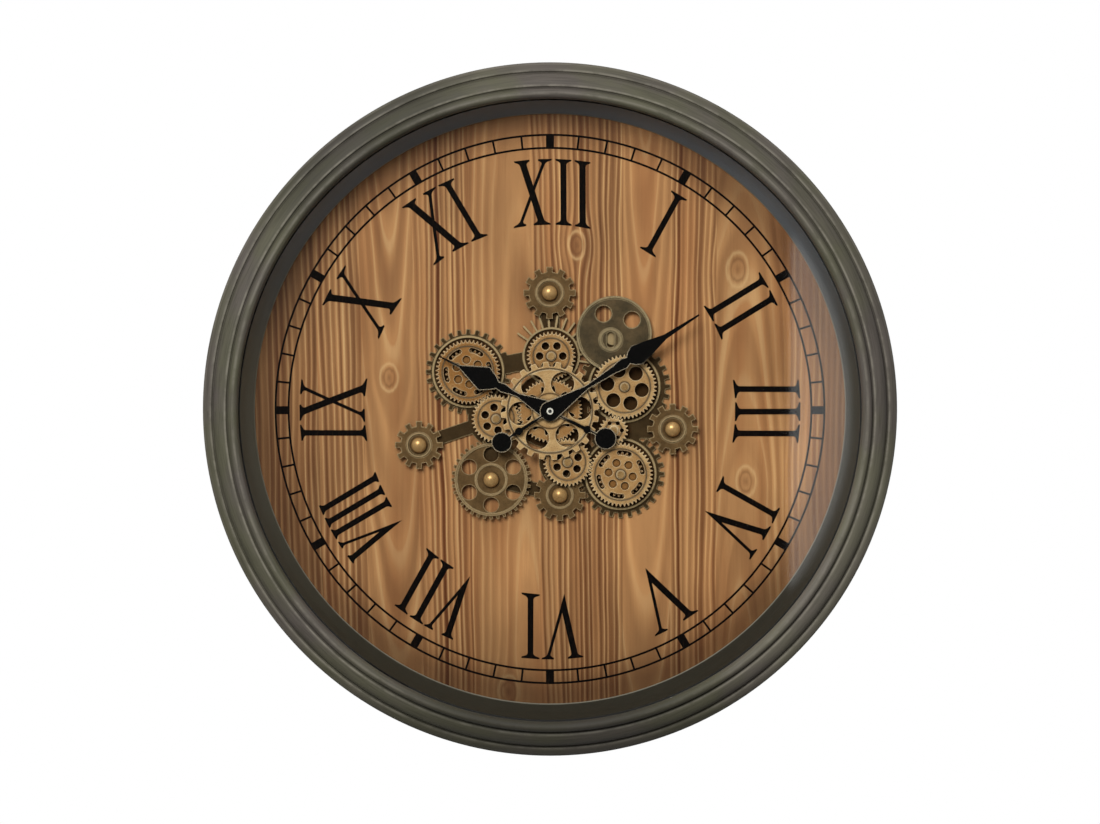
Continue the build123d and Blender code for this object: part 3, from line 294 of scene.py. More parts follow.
def charcoalPaint():
    s = frameLook
    look, paint = newLook("charcoal paint")
    x, y, z = clockPlace(paint)
    r, turn = x.reach(y), paint.math("ARCTAN2", y, x)
    streak = paint.noise(paint.spot(r * 0.8, turn * 9.0, z * 0.8), 4.0, 0.6)
    patch = paint.noise(paint.spot(x * 0.012, y * 0.012, z * 0.02), 3.0, 0.6)
    worn = paint.noise(paint.spot(x * 0.05, y * 0.05, z * 0.2), 4.0, 0.7).step(0.35, 0.62)
    scuff = paint.noise(paint.spot(x * 0.4, y * 0.4, z * 0.4), 4.0, 0.7).step(0.62, 0.74)
    crest, grooveShade = 0.0, 0.0
    for at, wide, much in s["crests"]:
        crest = r.bell(at, 1.0 / wide**2) * much + crest
    crest = crest * z.step(*s["crestsFrom"]) * (worn * 0.75 + 0.25)
    # painted shade: the grooves darker
    for at in s["grooves"]:
        grooveShade = r.bell(at, s["grooveFall"]) + grooveShade
    base = patch.step(0.36, 0.64).blend(s["olive"], s["mauve"])
    base = (streak.step(0.62, 0.25) * 0.45).blend(base, s["dark"])
    base = (scuff * 0.3).blend(base, s["scuffed"])
    # painted shade: darker towards the foot, most on the inner bead there
    footShade = paint.math("MAXIMUM", y.step(*s["foot"]) * 0.65, r.step(*s["innerBead"]) * y.step(*s["beadFoot"]) * 0.8)
    # painted shade: darker about one angle at the upper left
    upperLeftShade = paint.math("COSINE", turn - s["upperLeftShade"]).step(0.92, 0.985) * 0.55
    base = paint.math("MAXIMUM", footShade, upperLeftShade).blend(base, s["dark"])
    # painted light: paler about one angle at the right, a little below
    litStretch = paint.math("COSINE", turn - s["litStretch"]).step(0.88, 0.985)
    base = (litStretch * 0.14).blend(base, s["rubbedAndLit"])
    # the crests rubbed paler with a painted highlight, none where the foot is painted in shade
    base = (crest * (1.0 - footShade)).blend(base, s["rubbedAndLit"])
    base = (grooveShade * z.step(*s["groovesFrom"]) * 0.3).blend(base, s["grooveShadeTone"])
    normal = (streak + scuff * 0.2).bump(s["bump"])
    return dress(look, paint, {
        "Specular IOR Level": 0.2, "Base Color": base, "Roughness": streak * 0.25 + 0.5, "Normal": normal,
    })


# Cove paint: the same charcoal on the sloping inner wall, painted light making it cool and paler above and paler olive
# on the left, painted shade darkening it below, a pale line at its foot
coveLook = {
    "dark": (64, 64, 59),
    "mid": (86, 85, 78),
    "cool": (118, 129, 140),
    "worn": (112, 110, 98),
    "footShade": (36, 33, 24),
    "line": (140, 136, 122),
    "lineAt": (37.2, 36.2),
    "bump": 0.0002,
}


def covePaint():
    s = coveLook
    look, paint = newLook("cove paint")
    x, y, z = clockPlace(paint)
    turn = paint.math("ARCTAN2", y, x)
    streak = paint.noise(paint.spot(z * 0.6, turn * 12.0, 1.0), 4.0, 0.6)
    patch = paint.noise(paint.spot(x * 0.03, y * 0.03, z * 0.05), 3.0, 0.6)
    base = (streak * 0.6 + patch * 0.5 - 0.05).blend(s["dark"], s["mid"])
    # painted light: paler towards the left
    base = (x.step(60.0, -220.0) * 0.7).blend(base, s["worn"])
    # painted light: cool and paler towards the top
    base = (y.step(20.0, 220.0) * 0.8).blend(base, s["cool"])
    # painted shade: darker towards the foot
    base = (y.step(60.0, -230.0) * 0.85).blend(base, s["footShade"])
    base = (z.step(*s["lineAt"]) * 0.8).blend(base, s["line"])
    return dress(look, paint, {
        "Specular IOR Level": 0.25, "Base Color": base, "Roughness": streak * 0.25 + 0.42,
        "Normal": streak.bump(s["bump"]),
    })


# Dial: fir staves side by side; each stave is (left edge, ring centre, y of the tree's tip, taper, ring gap,
# brightness, contrast), a taper of 0 gives straight grain and any other nested arches. A ramp holds the last six as
# (value + shift) / span, so that they lie between 0 and 1. A knot is (x, y, radius)
dialLook = {
    "early": (187, 136, 87),
    "late": (92, 47, 19),
    "red": (154, 95, 53),
    "pale": (212, 172, 120),
    "knot": (96, 56, 30),
    "raw": (188, 152, 108),
    "rawDark": (150, 112, 72),
    "half": 280.0,
    "lean": 0.025,
    "staves": (
        (-280, -420, 0, 0.0, 5.6, 0.74, 1.05),
        (-202, -330, 0, 0.0, 5.4, 0.93, 1.05),
        (-162, -136, 420, 0.06, 5.4, 0.98, 0.6),
        (-118, 20, 0, 0.0, 4.7, 1.06, 1.15),
        (-67, -22, -520, 0.045, 6.2, 1.02, 0.55),
        (-15, 190, 0, 0.0, 4.9, 1.06, 1.15),
        (62, 82, 430, 0.055, 5.4, 1.1, 0.6),
        (105, 0, 0, 0.0, 5.2, 1.08, 1.05),
        (143, 168, -430, 0.07, 6.2, 0.96, 0.6),
        (203, 380, 0, 0.0, 5.4, 0.98, 0.7),
        (254, 420, 0, 0.0, 5.0, 0.92, 0.8),
    ),
    "shifts": (500.0, 600.0, 0.0, 0.0, 0.0, 0.0),
    "spans": (1000.0, 1200.0, 0.1, 10.0, 1.5, 1.2),
    "knots": ((-139.7, 28.2, 6.0), (162.9, 121.7, 7.5), (23.3, 143.5, 6.0), (170.7, -62.6, 6.5), (-36.2, -246, 7.0)),
    "rimShade": (220.0, 250.0),
    "dialFootShade": (-120.0, -250.0),
    "front": (33.0, 34.6),
    "bump": 0.00006,
}


def dialWood():
    s = dialLook
    look, paint = newLook("dial wood")
    x, y, z = clockPlace(paint)
    side = x + y * (x.step(60.0, 0.0) * s["lean"])
    spread = 0.5 / s["half"]
    at = (side + s["half"]) * spread
    held = []
    for first in (0, 3):
        stops = []
        for edge, *values in s["staves"]:
            three = [(values[k] + s["shifts"][k]) / s["spans"][k] for k in range(first, first + 3)]
            stops.append(((edge + s["half"]) * spread, three))
        held += at.ramp(stops)
    middle, tip, taper, gap, bright, contrast = (
        v * span - shift for v, span, shift in zip(held, s["spans"], s["shifts"])
    )
    # grain wanders slowly, shivers finely and bends round the knots
    wander = paint.noise(paint.spot(x * 0.014, middle, y * 0.005), 2.0) - 0.5
    shiver = paint.noise(paint.spot(x * 0.3, middle, y * 0.012), 2.0) - 0.5
    across = side + wander * 12.0 + shiver * 1.1
    eye, halo, bark = 0.0, 0.0, 0.0
    for kx, ky, kr in s["knots"]:
        dx, dy = x - kx + shiver * 5.0, (y - ky) * 0.62 + wander * 4.0
        far = (dx * dx + dy * dy) / kr**2
        across = across - dx * paint.math("EXPONENT", far * -0.22) * 0.8
        eye = paint.math("EXPONENT", far * -7.0) + eye
        away = paint.math("SQRT", far)
        halo = away.bell(0.8, 50.0) + halo
        bark = away.bell(1.25, 40.0) + bark
    d = (across - middle).reach((y - tip) * taper)
    # uneven stripes from noise over the distance d, with growth rings of a sharp dark side between them
    seed = middle * 0.73
    bands = paint.noise1(d / gap * 0.62 + seed, 2.5).step(0.38, 0.66)
    broad = paint.noise1(d * 0.06 + seed, 1.0).step(0.32, 0.68)
    uneven = paint.noise1(d * 0.21 + seed) - 0.5
    rings = (d + uneven * 2.8) / gap
    ring = paint.math("FRACT", rings)
    own = paint.noise1(paint.math("FLOOR", rings) * 3.7 + seed).step(0.34, 0.62)
    late = ring.step(0.08, 0.55) * ring.step(1.0, 0.7) * (own * 0.45 + 0.55)
    pale = ring.step(0.0, 0.06) * ring.step(0.26, 0.1) * own
    fibre = paint.noise(paint.spot(x * 1.3, middle, y * 0.03), 3.0, 0.6)
    streak = paint.noise(paint.spot(x * 0.45, middle, y * 0.006), 3.0, 0.6).step(0.4, 0.72)
    dark = (bands * 0.2 + late * (broad * 0.26 + 0.44) + streak * 0.12) * contrast
    cloud = paint.noise(paint.spot(x * 0.02, 3.0, y * 0.008), 2.0)
    warm = paint.noise(paint.spot(x * 0.05, 11.0, y * 0.004), 2.0).step(0.42, 0.7)
    colour = (warm * 0.45).blend(s["early"], s["red"])
    colour = (pale * contrast * 0.65).blend(colour, s["pale"])
    colour = dark.blend(colour, s["late"])
    colour = (halo * 0.4 + eye * 0.4).blend(colour, s["knot"])
    colour = (bark * 0.5).blend(colour, s["pale"])
    # painted shade: darker towards the rim, where the frame shades the dial, and towards the foot
    rimShadow = x.reach(y).step(*s["rimShade"])
    colour = (rimShadow * 0.35).blend(colour, s["late"])
    light = bright * (fibre * 0.3 + 0.85) * (cloud * 0.8 + 0.6) * (1.0 - rimShadow * 0.3)
    colour = colour.scaled(light * (1.0 - y.step(*s["dialFootShade"]) * 0.42))
    # raw wood behind the face
    raw = paint.noise(paint.spot(x * 0.15, 7.0, y * 0.01), 4.0, 0.6)
    raw = raw.step(0.3, 0.75).blend(s["raw"], s["rawDark"])
    colour = z.step(*s["front"]).blend(raw, colour)
    return dress(look, paint, {
        "Specular IOR Level": 0.15, "Base Color": colour, "Roughness": 0.52 - dark * 0.12 + fibre * 0.1,
        "Normal": fibre.bump(s["bump"]),
    })


# Metals of the wheel work: face colour, tarnish, a dark wall colour for pits and painted shade, rubbed edges with a
# painted highlight, and sunk floors darker as painted shade
metalLook = {
    "gilt": {"face": (212, 176, 124), "dull": (148, 104, 58), "wall": (52, 27, 8), "edge": (238, 214, 172),
             "floor": (156, 107, 57), "edgeWidth": 0.0007},
    "plate": {"face": (84, 65, 40), "dull": (54, 40, 24), "wall": (60, 38, 16), "edge": (184, 158, 116),
              "floor": (50, 36, 18), "edgeWidth": 0.0013},
    "bronze": {"face": (122, 94, 60), "dull": (74, 55, 33), "wall": (36, 23, 10), "edge": (194, 168, 126),
               "floor": (54, 38, 20), "edgeWidth": 0.0011},
    "green": {"face": (106, 86, 60), "dull": (50, 47, 36), "wall": (30, 24, 14), "edge": (190, 168, 128),
              "floor": (42, 37, 26), "edgeWidth": 0.0014},
    "brass": {"face": (206, 166, 112), "dull": (154, 116, 70), "wall": (116, 84, 47), "edge": (228, 196, 148),
              "floor": (128, 94, 54), "edgeWidth": 0.0005},
}
# how a ring painted dark as shade fades, the height below which discs of painted shade lie and their soft border, how
# far off other pieces cast painted shade through ambient occlusion in the colour
wearAndShadeLook = {"ringFall": 1.3, "shadeBelow": (38.8, 38.4), "shadeBorder": (-1.5, 2.0), "near": 0.005, "bump": 0.00006}


def wheelMetal(name, kind, at=(0.0, 0.0), metallic=0.15, rough=0.38, floor=None, crown=None, sunkShade=0.5, rubbedAndLit=0.6,
               lines=(), shades=(), brightness=1.0):
    # fine rings about the wheel's own centre, tarnish in patches, walls dark as painted shade, rubbed edges with a
    # painted highlight; floor and crown are heights (from, to) over which the sunk faces take painted shade and the
    # raised faces a rubbed paler colour with a painted highlight, lines are radii of rings painted dark as shade,
    # shades are discs (x, y, radius) of painted shade under the wheels, and the last argument sets how bright the
    # finish is made
    c, s = metalLook[kind], wearAndShadeLook
    look, paint = newLook(name)
    x, y, z = clockPlace(paint)
    clear = 1.0
    for sx, sy, sr in shades:
        clear = (x - sx).reach(y - sy).step(sr + s["shadeBorder"][0], sr + s["shadeBorder"][1]) * clear
    x, y = x - at[0], y - at[1]
    r, turn = x.reach(y), paint.math("ARCTAN2", y, x)
    brushed = paint.noise(paint.spot(r * 2.6, turn * 1.5, z * 2.0), 3.0, 0.6)
    tarnish = paint.noise(paint.spot(x * 0.09, y * 0.09, z * 0.3), 4.0, 0.65)
    pits = paint.noise(paint.spot(x * 0.9, y * 0.9, z * 0.9), 3.0, 0.6)
    mixed = (tarnish * 1.4 + brushed * 0.5 + (brightness - 1.45)).blend(c["dull"], c["face"])
    mixed = (pits.step(0.55, 0.74) * 0.7).blend(mixed, c["wall"])
    # painted shade: the sunk faces darker
    if floor:
        mixed = (z.step(floor[1], floor[0]) * sunkShade).blend(mixed, c["floor"])
    # the raised faces rubbed paler, with a painted highlight
    if crown:
        mixed = (z.step(*crown) * (tarnish * 0.8 + 0.5) * rubbedAndLit).blend(mixed, c["edge"])
    if shades:
        mixed = (z.step(*s["shadeBelow"]) * (1.0 - clear) * 0.85).blend(mixed, c["wall"])
    # painted shade: the walls, facing sideways, take the dark wall colour
    mixed = facing(paint).step(0.35, 0.6).blend(c["wall"], mixed)
    # the edges rubbed paler, with a painted highlight
    edge = roundedEdgeMask(paint, c["edgeWidth"]) * (tarnish * 0.9 + 0.45)
    mixed = (edge * 0.9).blend(mixed, c["edge"])
    # rings painted dark as shade
    for ring in lines:
        mixed = (r.bell(ring, s["ringFall"]) * 0.85).blend(mixed, c["wall"])
    # painted shade: darker where other pieces stand close, from ambient occlusion fed into the colour
    occlusion = paint.node("AmbientOcclusion", {"samples": 4}, {"Distance": s["near"]}, "AO")
    mixed = (occlusion.step(0.8, 0.34) * 0.85).blend(mixed, c["wall"])
    return dress(look, paint, {
        "Metallic": metallic, "Specular IOR Level": 0.06, "Base Color": mixed,
        "Roughness": brushed * 0.2 + tarnish * 0.15 + rough - 0.15,
        "Normal": (brushed * 0.6 + pits * 0.4).bump(s["bump"]),
    })


def plainLook(name, light, dark, grain, rough, metallic=0.0, stretch=(1.0, 1.0, 1.0)):
    # two tones mixed by fine noise stretched along an axis, with a painted highlight paler on slanting edges, for the
    # pieces behind the dial
    look, paint = newLook(name)
    x, y, z = clockPlace(paint)
    fine = paint.noise(paint.spot(x * grain * stretch[0], y * grain * stretch[1], z * grain * stretch[2]), 4.0, 0.6)
    broad = paint.noise(paint.spot(x * 0.05, y * 0.05, z * 0.05), 2.0)
    mixed = (fine * 0.7 + broad * 0.6 - 0.15).blend(dark, light)
    square = facing(paint)
    slant = square.step(0.3, 0.6) * square.step(0.98, 0.85)
    mixed = (slant * 0.5).blend(mixed, [min(255, 1.25 * v + 12) for v in light])
    return dress(look, paint, {
        "Metallic": metallic, "Base Color": mixed, "Roughness": fine * 0.2 + rough - 0.1, "Normal": fine.bump(0.00004),
    })


# Ink: black, worn to a warm brown in short upright streaks
inkTones = {"black": (8, 6, 5), "worn": (34, 22, 14)}


def inkLook():
    look, paint = newLook("dial ink")
    x, y, z = clockPlace(paint)
    worn = paint.noise(paint.spot(x * 0.8, y * 0.12, 0.0), 4.0, 0.7)
    colour = worn.step(0.45, 0.8).blend(inkTones["black"], inkTones["worn"])
    return dress(look, paint, {"Specular IOR Level": 0.03, "Base Color": colour, "Roughness": worn * 0.2 + 0.42})


# Hands: black paint; the blades and the round ends have a pale painted highlight along their edges, the thin tips and
# tails none
handLook = {
    "black": (4, 4, 4),
    "worn": (14, 12, 11),
    "bare": (214, 194, 164),
    "highlightWidth": 0.0012,
    "aboveTail": (-9.0, -5.0),
    "roundEnd": (37.0, 40.0),
    "belowTip": (100.0, 80.0),
}


def handPaint():
    s = handLook
    look, paint = newLook("hand paint")
    x, y, z = clockPlace(paint)
    fine = paint.noise(paint.spot(x * 1.2, y * 1.2, z * 1.2), 3.0, 0.6)
    patch = paint.noise(paint.spot(x * 0.06, y * 0.06, z * 0.06), 3.0, 0.6)
    r = x.reach(y)
    broad = paint.math("MAXIMUM", y.step(*s["aboveTail"]), r.step(*s["roundEnd"]))
    # painted highlight along the edges, in the pale colour
    edge = roundedEdgeMask(paint, s["highlightWidth"]) * r.step(*s["belowTip"]) * broad
    mixed = edge.blend((fine * 0.6 + patch * 0.4).blend(s["black"], s["worn"]), s["bare"])
    return dress(look, paint, {"Specular IOR Level": 0.04, "Base Color": mixed, "Roughness": fine * 0.2 + 0.34})


# Glass: what lies behind shows, with a thin reflection that grows at a slant and is a little smeared
glassLook = {"clear": (0.975, 0.985, 0.98, 1.0), "shine": (1.0, 1.0, 1.0, 1.0), "index": 1.5}


def paneGlass():
    s = glassLook
    look, paint = newLook("pane glass")
    x, y, z = clockPlace(paint)
    smear = paint.noise(paint.spot(x * 0.01, y * 0.02, 0.0), 3.0, 0.6)
    clear = paint.node("BsdfTransparent", {}, {"Color": s["clear"]})
    shine = paint.node("BsdfGlossy", {}, {"Color": s["shine"], "Roughness": smear * 0.02 + 0.01})
    # light goes straight through, so the inner side takes the inverse index and reflects as the outer one
    inner = paint.node("NewGeometry", {}, {}, "Backfacing")
    share = paint.node("Fresnel", {}, {"IOR": inner * (1.0 / s["index"] - s["index"]) + s["index"]})
    mixed = paint.node("MixShader", {}, {0: share, 1: clear, 2: shine})
    paint.node("OutputMaterial", {}, {"Surface": mixed})
    return look


# Battery: plain grey jacket with a dark band, bare metal at both ends
cellLook = {
    "dark": (70, 73, 78),
    "light": (98, 101, 106),
    "band": (34, 35, 38),
    "bare": (196, 196, 192),
    "half": 25.1,
    "bandAt": 0.55,
    "bandEdge": (6.2, 5.8),
    "bareEdge": (2.6, 2.2),
}


def cellJacket(name, middle):
    s = cellLook
    look, paint = newLook(name)
    x, y, z = clockPlace(paint)
    fine = paint.noise(paint.spot(x * 0.05, y * 2.0, z * 2.0), 3.0)
    bare = abs(x - middle).step(s["half"] - s["bareEdge"][0], s["half"] - s["bareEdge"][1])
    band = abs(x - middle + s["half"] * s["bandAt"]).step(*s["bandEdge"])
    jacket = (fine * 0.8).blend(s["dark"], s["light"])
    jacket = (band * 0.8).blend(jacket, s["band"])
    return dress(look, paint, {
        "Base Color": bare.blend(jacket, s["bare"]), "Metallic": bare * 0.9, "Roughness": fine * 0.15 + 0.3,
    })


# Circuit board: green varnish over wavy tracks
boardLook = {"dark": (24, 74, 40), "light": (44, 104, 58), "track": (96, 140, 84)}


def boardGreen():
    look, paint = newLook("circuit board")
    x, y, z = clockPlace(paint)
    lines = abs(paint.math("SINE", x * 2.4 + paint.math("SINE", y * 1.1) * 0.8)).step(0.25, 0.12)
    fine = paint.noise(paint.spot(x * 1.5, y * 1.5, z * 1.5), 3.0)
    mask = (fine * 0.8).blend(boardLook["dark"], boardLook["light"])
    mask = (lines * 0.6).blend(mask, boardLook["track"])
    return dress(look, paint, {"Base Color": mask, "Roughness": fine * 0.2 + 0.32})


# Coil: turns of copper wire side by side, with painted shade darker between the turns
wireLook = {"dark": (96, 48, 22), "light": (206, 126, 72), "perMm": 12.0, "bump": 0.00012}


def woundCopper():
    look, paint = newLook("wound wire")
    x, y, z = clockPlace(paint)
    turns = abs(paint.math("SINE", x * wireLook["perMm"]))
    fine = paint.noise(paint.spot(x * 2.0, y * 0.5, z * 0.5), 3.0)
    colour = (turns * 0.7 + fine * 0.3).blend(wireLook["dark"], wireLook["light"])
    return dress(look, paint, {
        "Metallic": 0.6, "Base Color": colour, "Roughness": fine * 0.2 + 0.3, "Normal": turns.bump(wireLook["bump"]),
    })


# Where each wheel and cog turns or sits
gearPlaces = {
    "centre_wheel": (0.0, 0.0),
    "centre_front_wheel": (0.0, 0.0),
    "top_wheel": (1.07, 47.24),
    "left_wheel": (-46.72, -7.07),
    "bottom_wheel": (15.23, -44.73),
    "upper_left_wheel": (-70.98, 33.48),
    "upper_left_rear_wheel": (-70.98, 33.48),
    "lower_right_wheel": (61.25, -55.44),
    "lower_right_rear_wheel": (61.25, -55.44),
    "idler_wheel": (55.14, -17.11),
    "upper_right_wheel": (64.53, 20.55),
    "top_cog": (-0.36, 101.89),
    "left_cog": (-113.68, -29.99),
    "lower_left_cog": (-51.08, -60.06),
    "bottom_cog": (8.5, -73.63),
    "right_cog": (106.37, -16.13),
    "upper_right_disc": (55.56, 66.53),
}
# radii of the discs of shade that the wheels leave on the plate
plateShades = {
    "upper_left_wheel": 30.0,
    "lower_right_wheel": 30.0,
    "upper_right_wheel": 30.5,
    "centre_wheel": 42.0,
    "top_wheel": 23.4,
    "left_wheel": 22.0,
    "bottom_wheel": 22.0,
    "idler_wheel": 15.0,
}
# heights of each wheel's sunk web, painted in shade, and raised hub or rim, rubbed paler with a painted highlight, and
# radii of its rings painted dark as shade
gearLevels = {
    "gilt": {"floor": (45.4, 45.7), "crown": (45.9, 46.4), "sunkShade": 0.3},
    "cog": {"crown": (41.4, 42.1), "rubbedAndLit": 0.3},
    "centre_wheel": {"floor": (45.9, 46.0), "sunkShade": 0.6},
    "centre_front_wheel": {"lines": (36.6, 15.2)},
}
shadeRings = {
    "top_wheel": (15.6, 4.5),
    "left_wheel": (15.6, 4.5),
    "bottom_wheel": (15.6, 4.5),
    "upper_left_wheel": (22.3, 4.5),
    "lower_right_wheel": (22.3, 4.5),
    "upper_right_wheel": (22.3, 4.5),
    "idler_wheel": (7.2,),
}
# how bright each wheel's finish is made: the centre front and upper right wheels brighter, the rest darker, the rear
# wheels most
wheelBrightness = {
    "upper_left_wheel": 0.5,
    "upper_left_rear_wheel": 0.3,
    "lower_right_rear_wheel": 0.3,
    "top_wheel": 0.8,
    "left_wheel": 0.9,
    "centre_front_wheel": 1.1,
    "upper_right_wheel": 1.1,
}

slots = {part["node"]: part["material_slot"] for part in frame["record"]["subparts"]}
looks = {
    "charcoal_paint": charcoalPaint(),
    "glass": paneGlass(),
    "felt": plainLook("felt", (34, 32, 30), (16, 15, 14), 2.5, 0.9),
    "dial_wood": dialWood(),
    "zinc_steel": plainLook("zinc steel", (176, 178, 178), (120, 122, 124), 0.9, 0.38, 0.85, (0.15, 1.0, 1.0)),
    "dark_bronze": wheelMetal("cast bronze", "bronze"),
    "polished_brass": wheelMetal("brass", "brass", metallic=0.6, rough=0.28),
    "black_plastic": plainLook("black plastic", (46, 46, 47), (24, 24, 25), 3.0, 0.5),
    "natural_plastic": plainLook("natural plastic", (226, 221, 208), (204, 198, 184), 0.6, 0.45),
    "circuit_green": boardGreen(),
    "copper_wire": woundCopper(),
    "hand_black": handPaint(),
}
nodeLooks = {
    "movement_battery": cellJacket("movement cell", 0.0),
    "drive_battery": cellJacket("drive cell", 66.03),
    "hand_nut": plainLook("nickel nut", (246, 240, 226), (216, 208, 190), 2.0, 0.3, 0.1),
    "minute_arbor": plainLook("dark arbor", (38, 33, 29), (20, 17, 15), 2.0, 0.4, 0.2),
    "mechanism_plate": wheelMetal(
        "cast plate", "plate", floor=(37.3, 38.6), crown=(38.6, 38.95), sunkShade=0.35, rubbedAndLit=0.8,
        shades=[(*gearPlaces[wheel], reach) for wheel, reach in plateShades.items()],
    ),
}
for node, at in gearPlaces.items():
    gilt = slots[node] == "gilt"
    kind = "gilt" if gilt else "green" if node == "upper_right_disc" else "bronze"
    levels = gearLevels.get(node) or gearLevels["gilt" if gilt else "cog"]
    levels = {**levels, "lines": shadeRings[node]} if node in shadeRings else levels
    nodeLooks[node] = wheelMetal(node + " metal", kind, at, brightness=wheelBrightness.get(node, 1.0), **levels)
print("materials made", len(bpy.data.materials))

# CAD pieces: their own material, and edges softened by a narrow bevel of the slot's width
edgeWidths = {
    "gilt": 0.4,
    "dark_bronze": 0.4,
    "hand_black": 0.25,
    "black_plastic": 0.5,
    "zinc_steel": 0.2,
    "polished_brass": 0.2,
    "natural_plastic": 0.15,
}
edgeShape = {"merge": 0.000002, "flat": math.radians(0.5), "corner": math.radians(40)}
for node, slotName in slots.items():
    obj = frame["nodes"][node]
    obj.data.materials.clear()
    obj.data.materials.append(nodeLooks.get(node) or looks[slotName])
    if slotName in edgeWidths:
        weld = obj.modifiers.new("weld", "WELD")
        weld.merge_threshold = edgeShape["merge"]
        flat = obj.modifiers.new("flat faces", "DECIMATE")
        flat.decimate_type = "DISSOLVE"
        flat.angle_limit = edgeShape["flat"]
        bevel = obj.modifiers.new("edges", "BEVEL")
        bevel.width = edgeWidths[slotName] / 1000.0
        bevel.segments = 1
        bevel.limit_method = "ANGLE"
        bevel.use_clamp_overlap = slotName != "gilt"
        bevel.angle_limit = edgeShape["corner"]
print("CAD pieces dressed")


# Frame moulding: one section turned about the axis, its beads and torus quarter or half ellipses (centre, radii)
# joined by straight lines, all corners softened
frameShape = {
    "outerBead": ((292.0, 49.0), (8.0, 8.0)),
    "outerGroove": [(291.0, 55.5)],
    "torus": ((278.4, 57.0), (11.6, 10.0)),
    "innerGroove": [(277.4, 65.5), (276.4, 67.0)],
    "innerBead": ((272.35, 67.95), (4.05, 4.05)),
    "lipAndBack": [(267.5, 65.0), (272.5, 65.0), (272.5, 28.0), (297.0, 28.0), (297.0, 46.0)],
    "turn": 240,
    "cut": 0.9,
}


def frameMoulding():
    s = frameShape
    section = np.concatenate((
        arc(*s["outerBead"], 0, 90, 14), s["outerGroove"], arc(*s["torus"], 0, 90, 16), s["innerGroove"],
        arc(*s["innerBead"], 0, 180, 14), s["lipAndBack"],
    ))
    patch = turned(softened(section, s["cut"], 4), around(s["turn"]))
    solid("frameMoulding", [patch], looks["charcoal_paint"], ["frame_ring"], sharp=40.0)


# Rear band: sixteen glued staves in one turned oblong section, whose walls dip along each glue line by
# dip * exp(-(distance / reach)^2); the angles lie closer together at a line
bandShape = {
    "inner": 285,
    "outer": 297.0,
    "deep": 28.2,
    "staves": 16,
    "dip": 0.45,
    "reach": 0.9,
    "cut": 0.8,
    "before": [0.0, 0.0015, 0.003, 0.006],
    "between": (0.02, 0.98, 14),
    "after": [0.994, 0.997, 0.9985],
}


def rearBand():
    s = bandShape
    share = np.concatenate((s["before"], np.linspace(*s["between"]), s["after"]))
    angles = ((np.arange(s["staves"])[:, None] + 0.5 + share) * 2 * np.pi / s["staves"]).ravel()
    apart = np.minimum(share, 1 - share) * 2 * np.pi * s["outer"] / s["staves"]
    dip = np.tile(s["dip"] * np.exp(-((apart / s["reach"]) ** 2)), s["staves"])
    corners = [(s["inner"], 0), (s["outer"], 0), (s["outer"], s["deep"]), (s["inner"], s["deep"])]
    section = softened(corners, s["cut"], 5)
    outer = (section[:, :1] > (s["inner"] + s["outer"]) / 2.0).astype(float)
    patch = turned(section, angles, swell=dip * (1 - 2 * outer))
    solid("rearBand", [patch], looks["charcoal_paint"], ["frame_band"])


# Spacer: the dark sloping wall between the glass and the dial, a turned line foot + rise * t that is pushed
# outwards by hollow * sin(pi t), with a straight back
spacerShape = {"foot": (256.3, 35.0), "rise": (10.5, 26.2), "back": 272.2, "top": 61.2, "hollow": 0.9, "cut": 0.5,
               "turn": 192}


def spacerWall():
    s = spacerShape
    t = np.linspace(0, 1, 9)
    slope = np.array(s["foot"]) + np.array(s["rise"]) * t[:, None]
    slope[:, 0] += s["hollow"] * np.sin(np.pi * t)
    section = np.concatenate((slope, [(s["back"], s["top"]), (s["back"], s["foot"][1])]))
    patch = turned(softened(section, s["cut"], 3), around(s["turn"]))
    solid("spacerWall", [patch], covePaint(), ["spacer_ring"])


# Dome nuts: a quarter ellipse on a short skirt, turned about each cog's centre
domeShape = {
    "places": ("top_cog", "left_cog", "lower_left_cog", "bottom_cog", "right_cog"),
    "radius": 7.0,
    "height": 6.2,
    "foot": 41.25,
    "skirt": 0.7,
    "inset": 0.25,
    "turn": 48,
}


def domeNuts():
    s = domeShape
    cap = arc((0.0, s["foot"] + s["skirt"]), (s["radius"], s["height"] - s["skirt"]), 0, 90, 16)
    section = np.concatenate(([(0.0, s["foot"]), (s["radius"] - s["inset"], s["foot"])], cap))
    section[-1, 0] = 0.0
    brass = wheelMetal("dome brass", "brass", metallic=0.4, rough=0.28)
    patches = [turned(section, around(s["turn"]), gearPlaces[node]) for node in s["places"]]
    solid("domeNuts", patches, brass, ["dome_nuts"])


# Screws at the back: pan heads of height * (1 - fall * (r / radius)^4), less a cross recess with soft walls
screwShape = {"radius": 3.5, "height": 2.2, "fall": 0.45, "bar": 0.55, "reach": 2.0, "deep": 1.1, "soft": 0.12}
clipScrews = {"radius": 278.75, "first": 22.5, "apart": 45.0, "count": 8, "seat": 26.5}
hangerScrews = {"side": 37.5, "up": 12.0, "seat": 26.0}


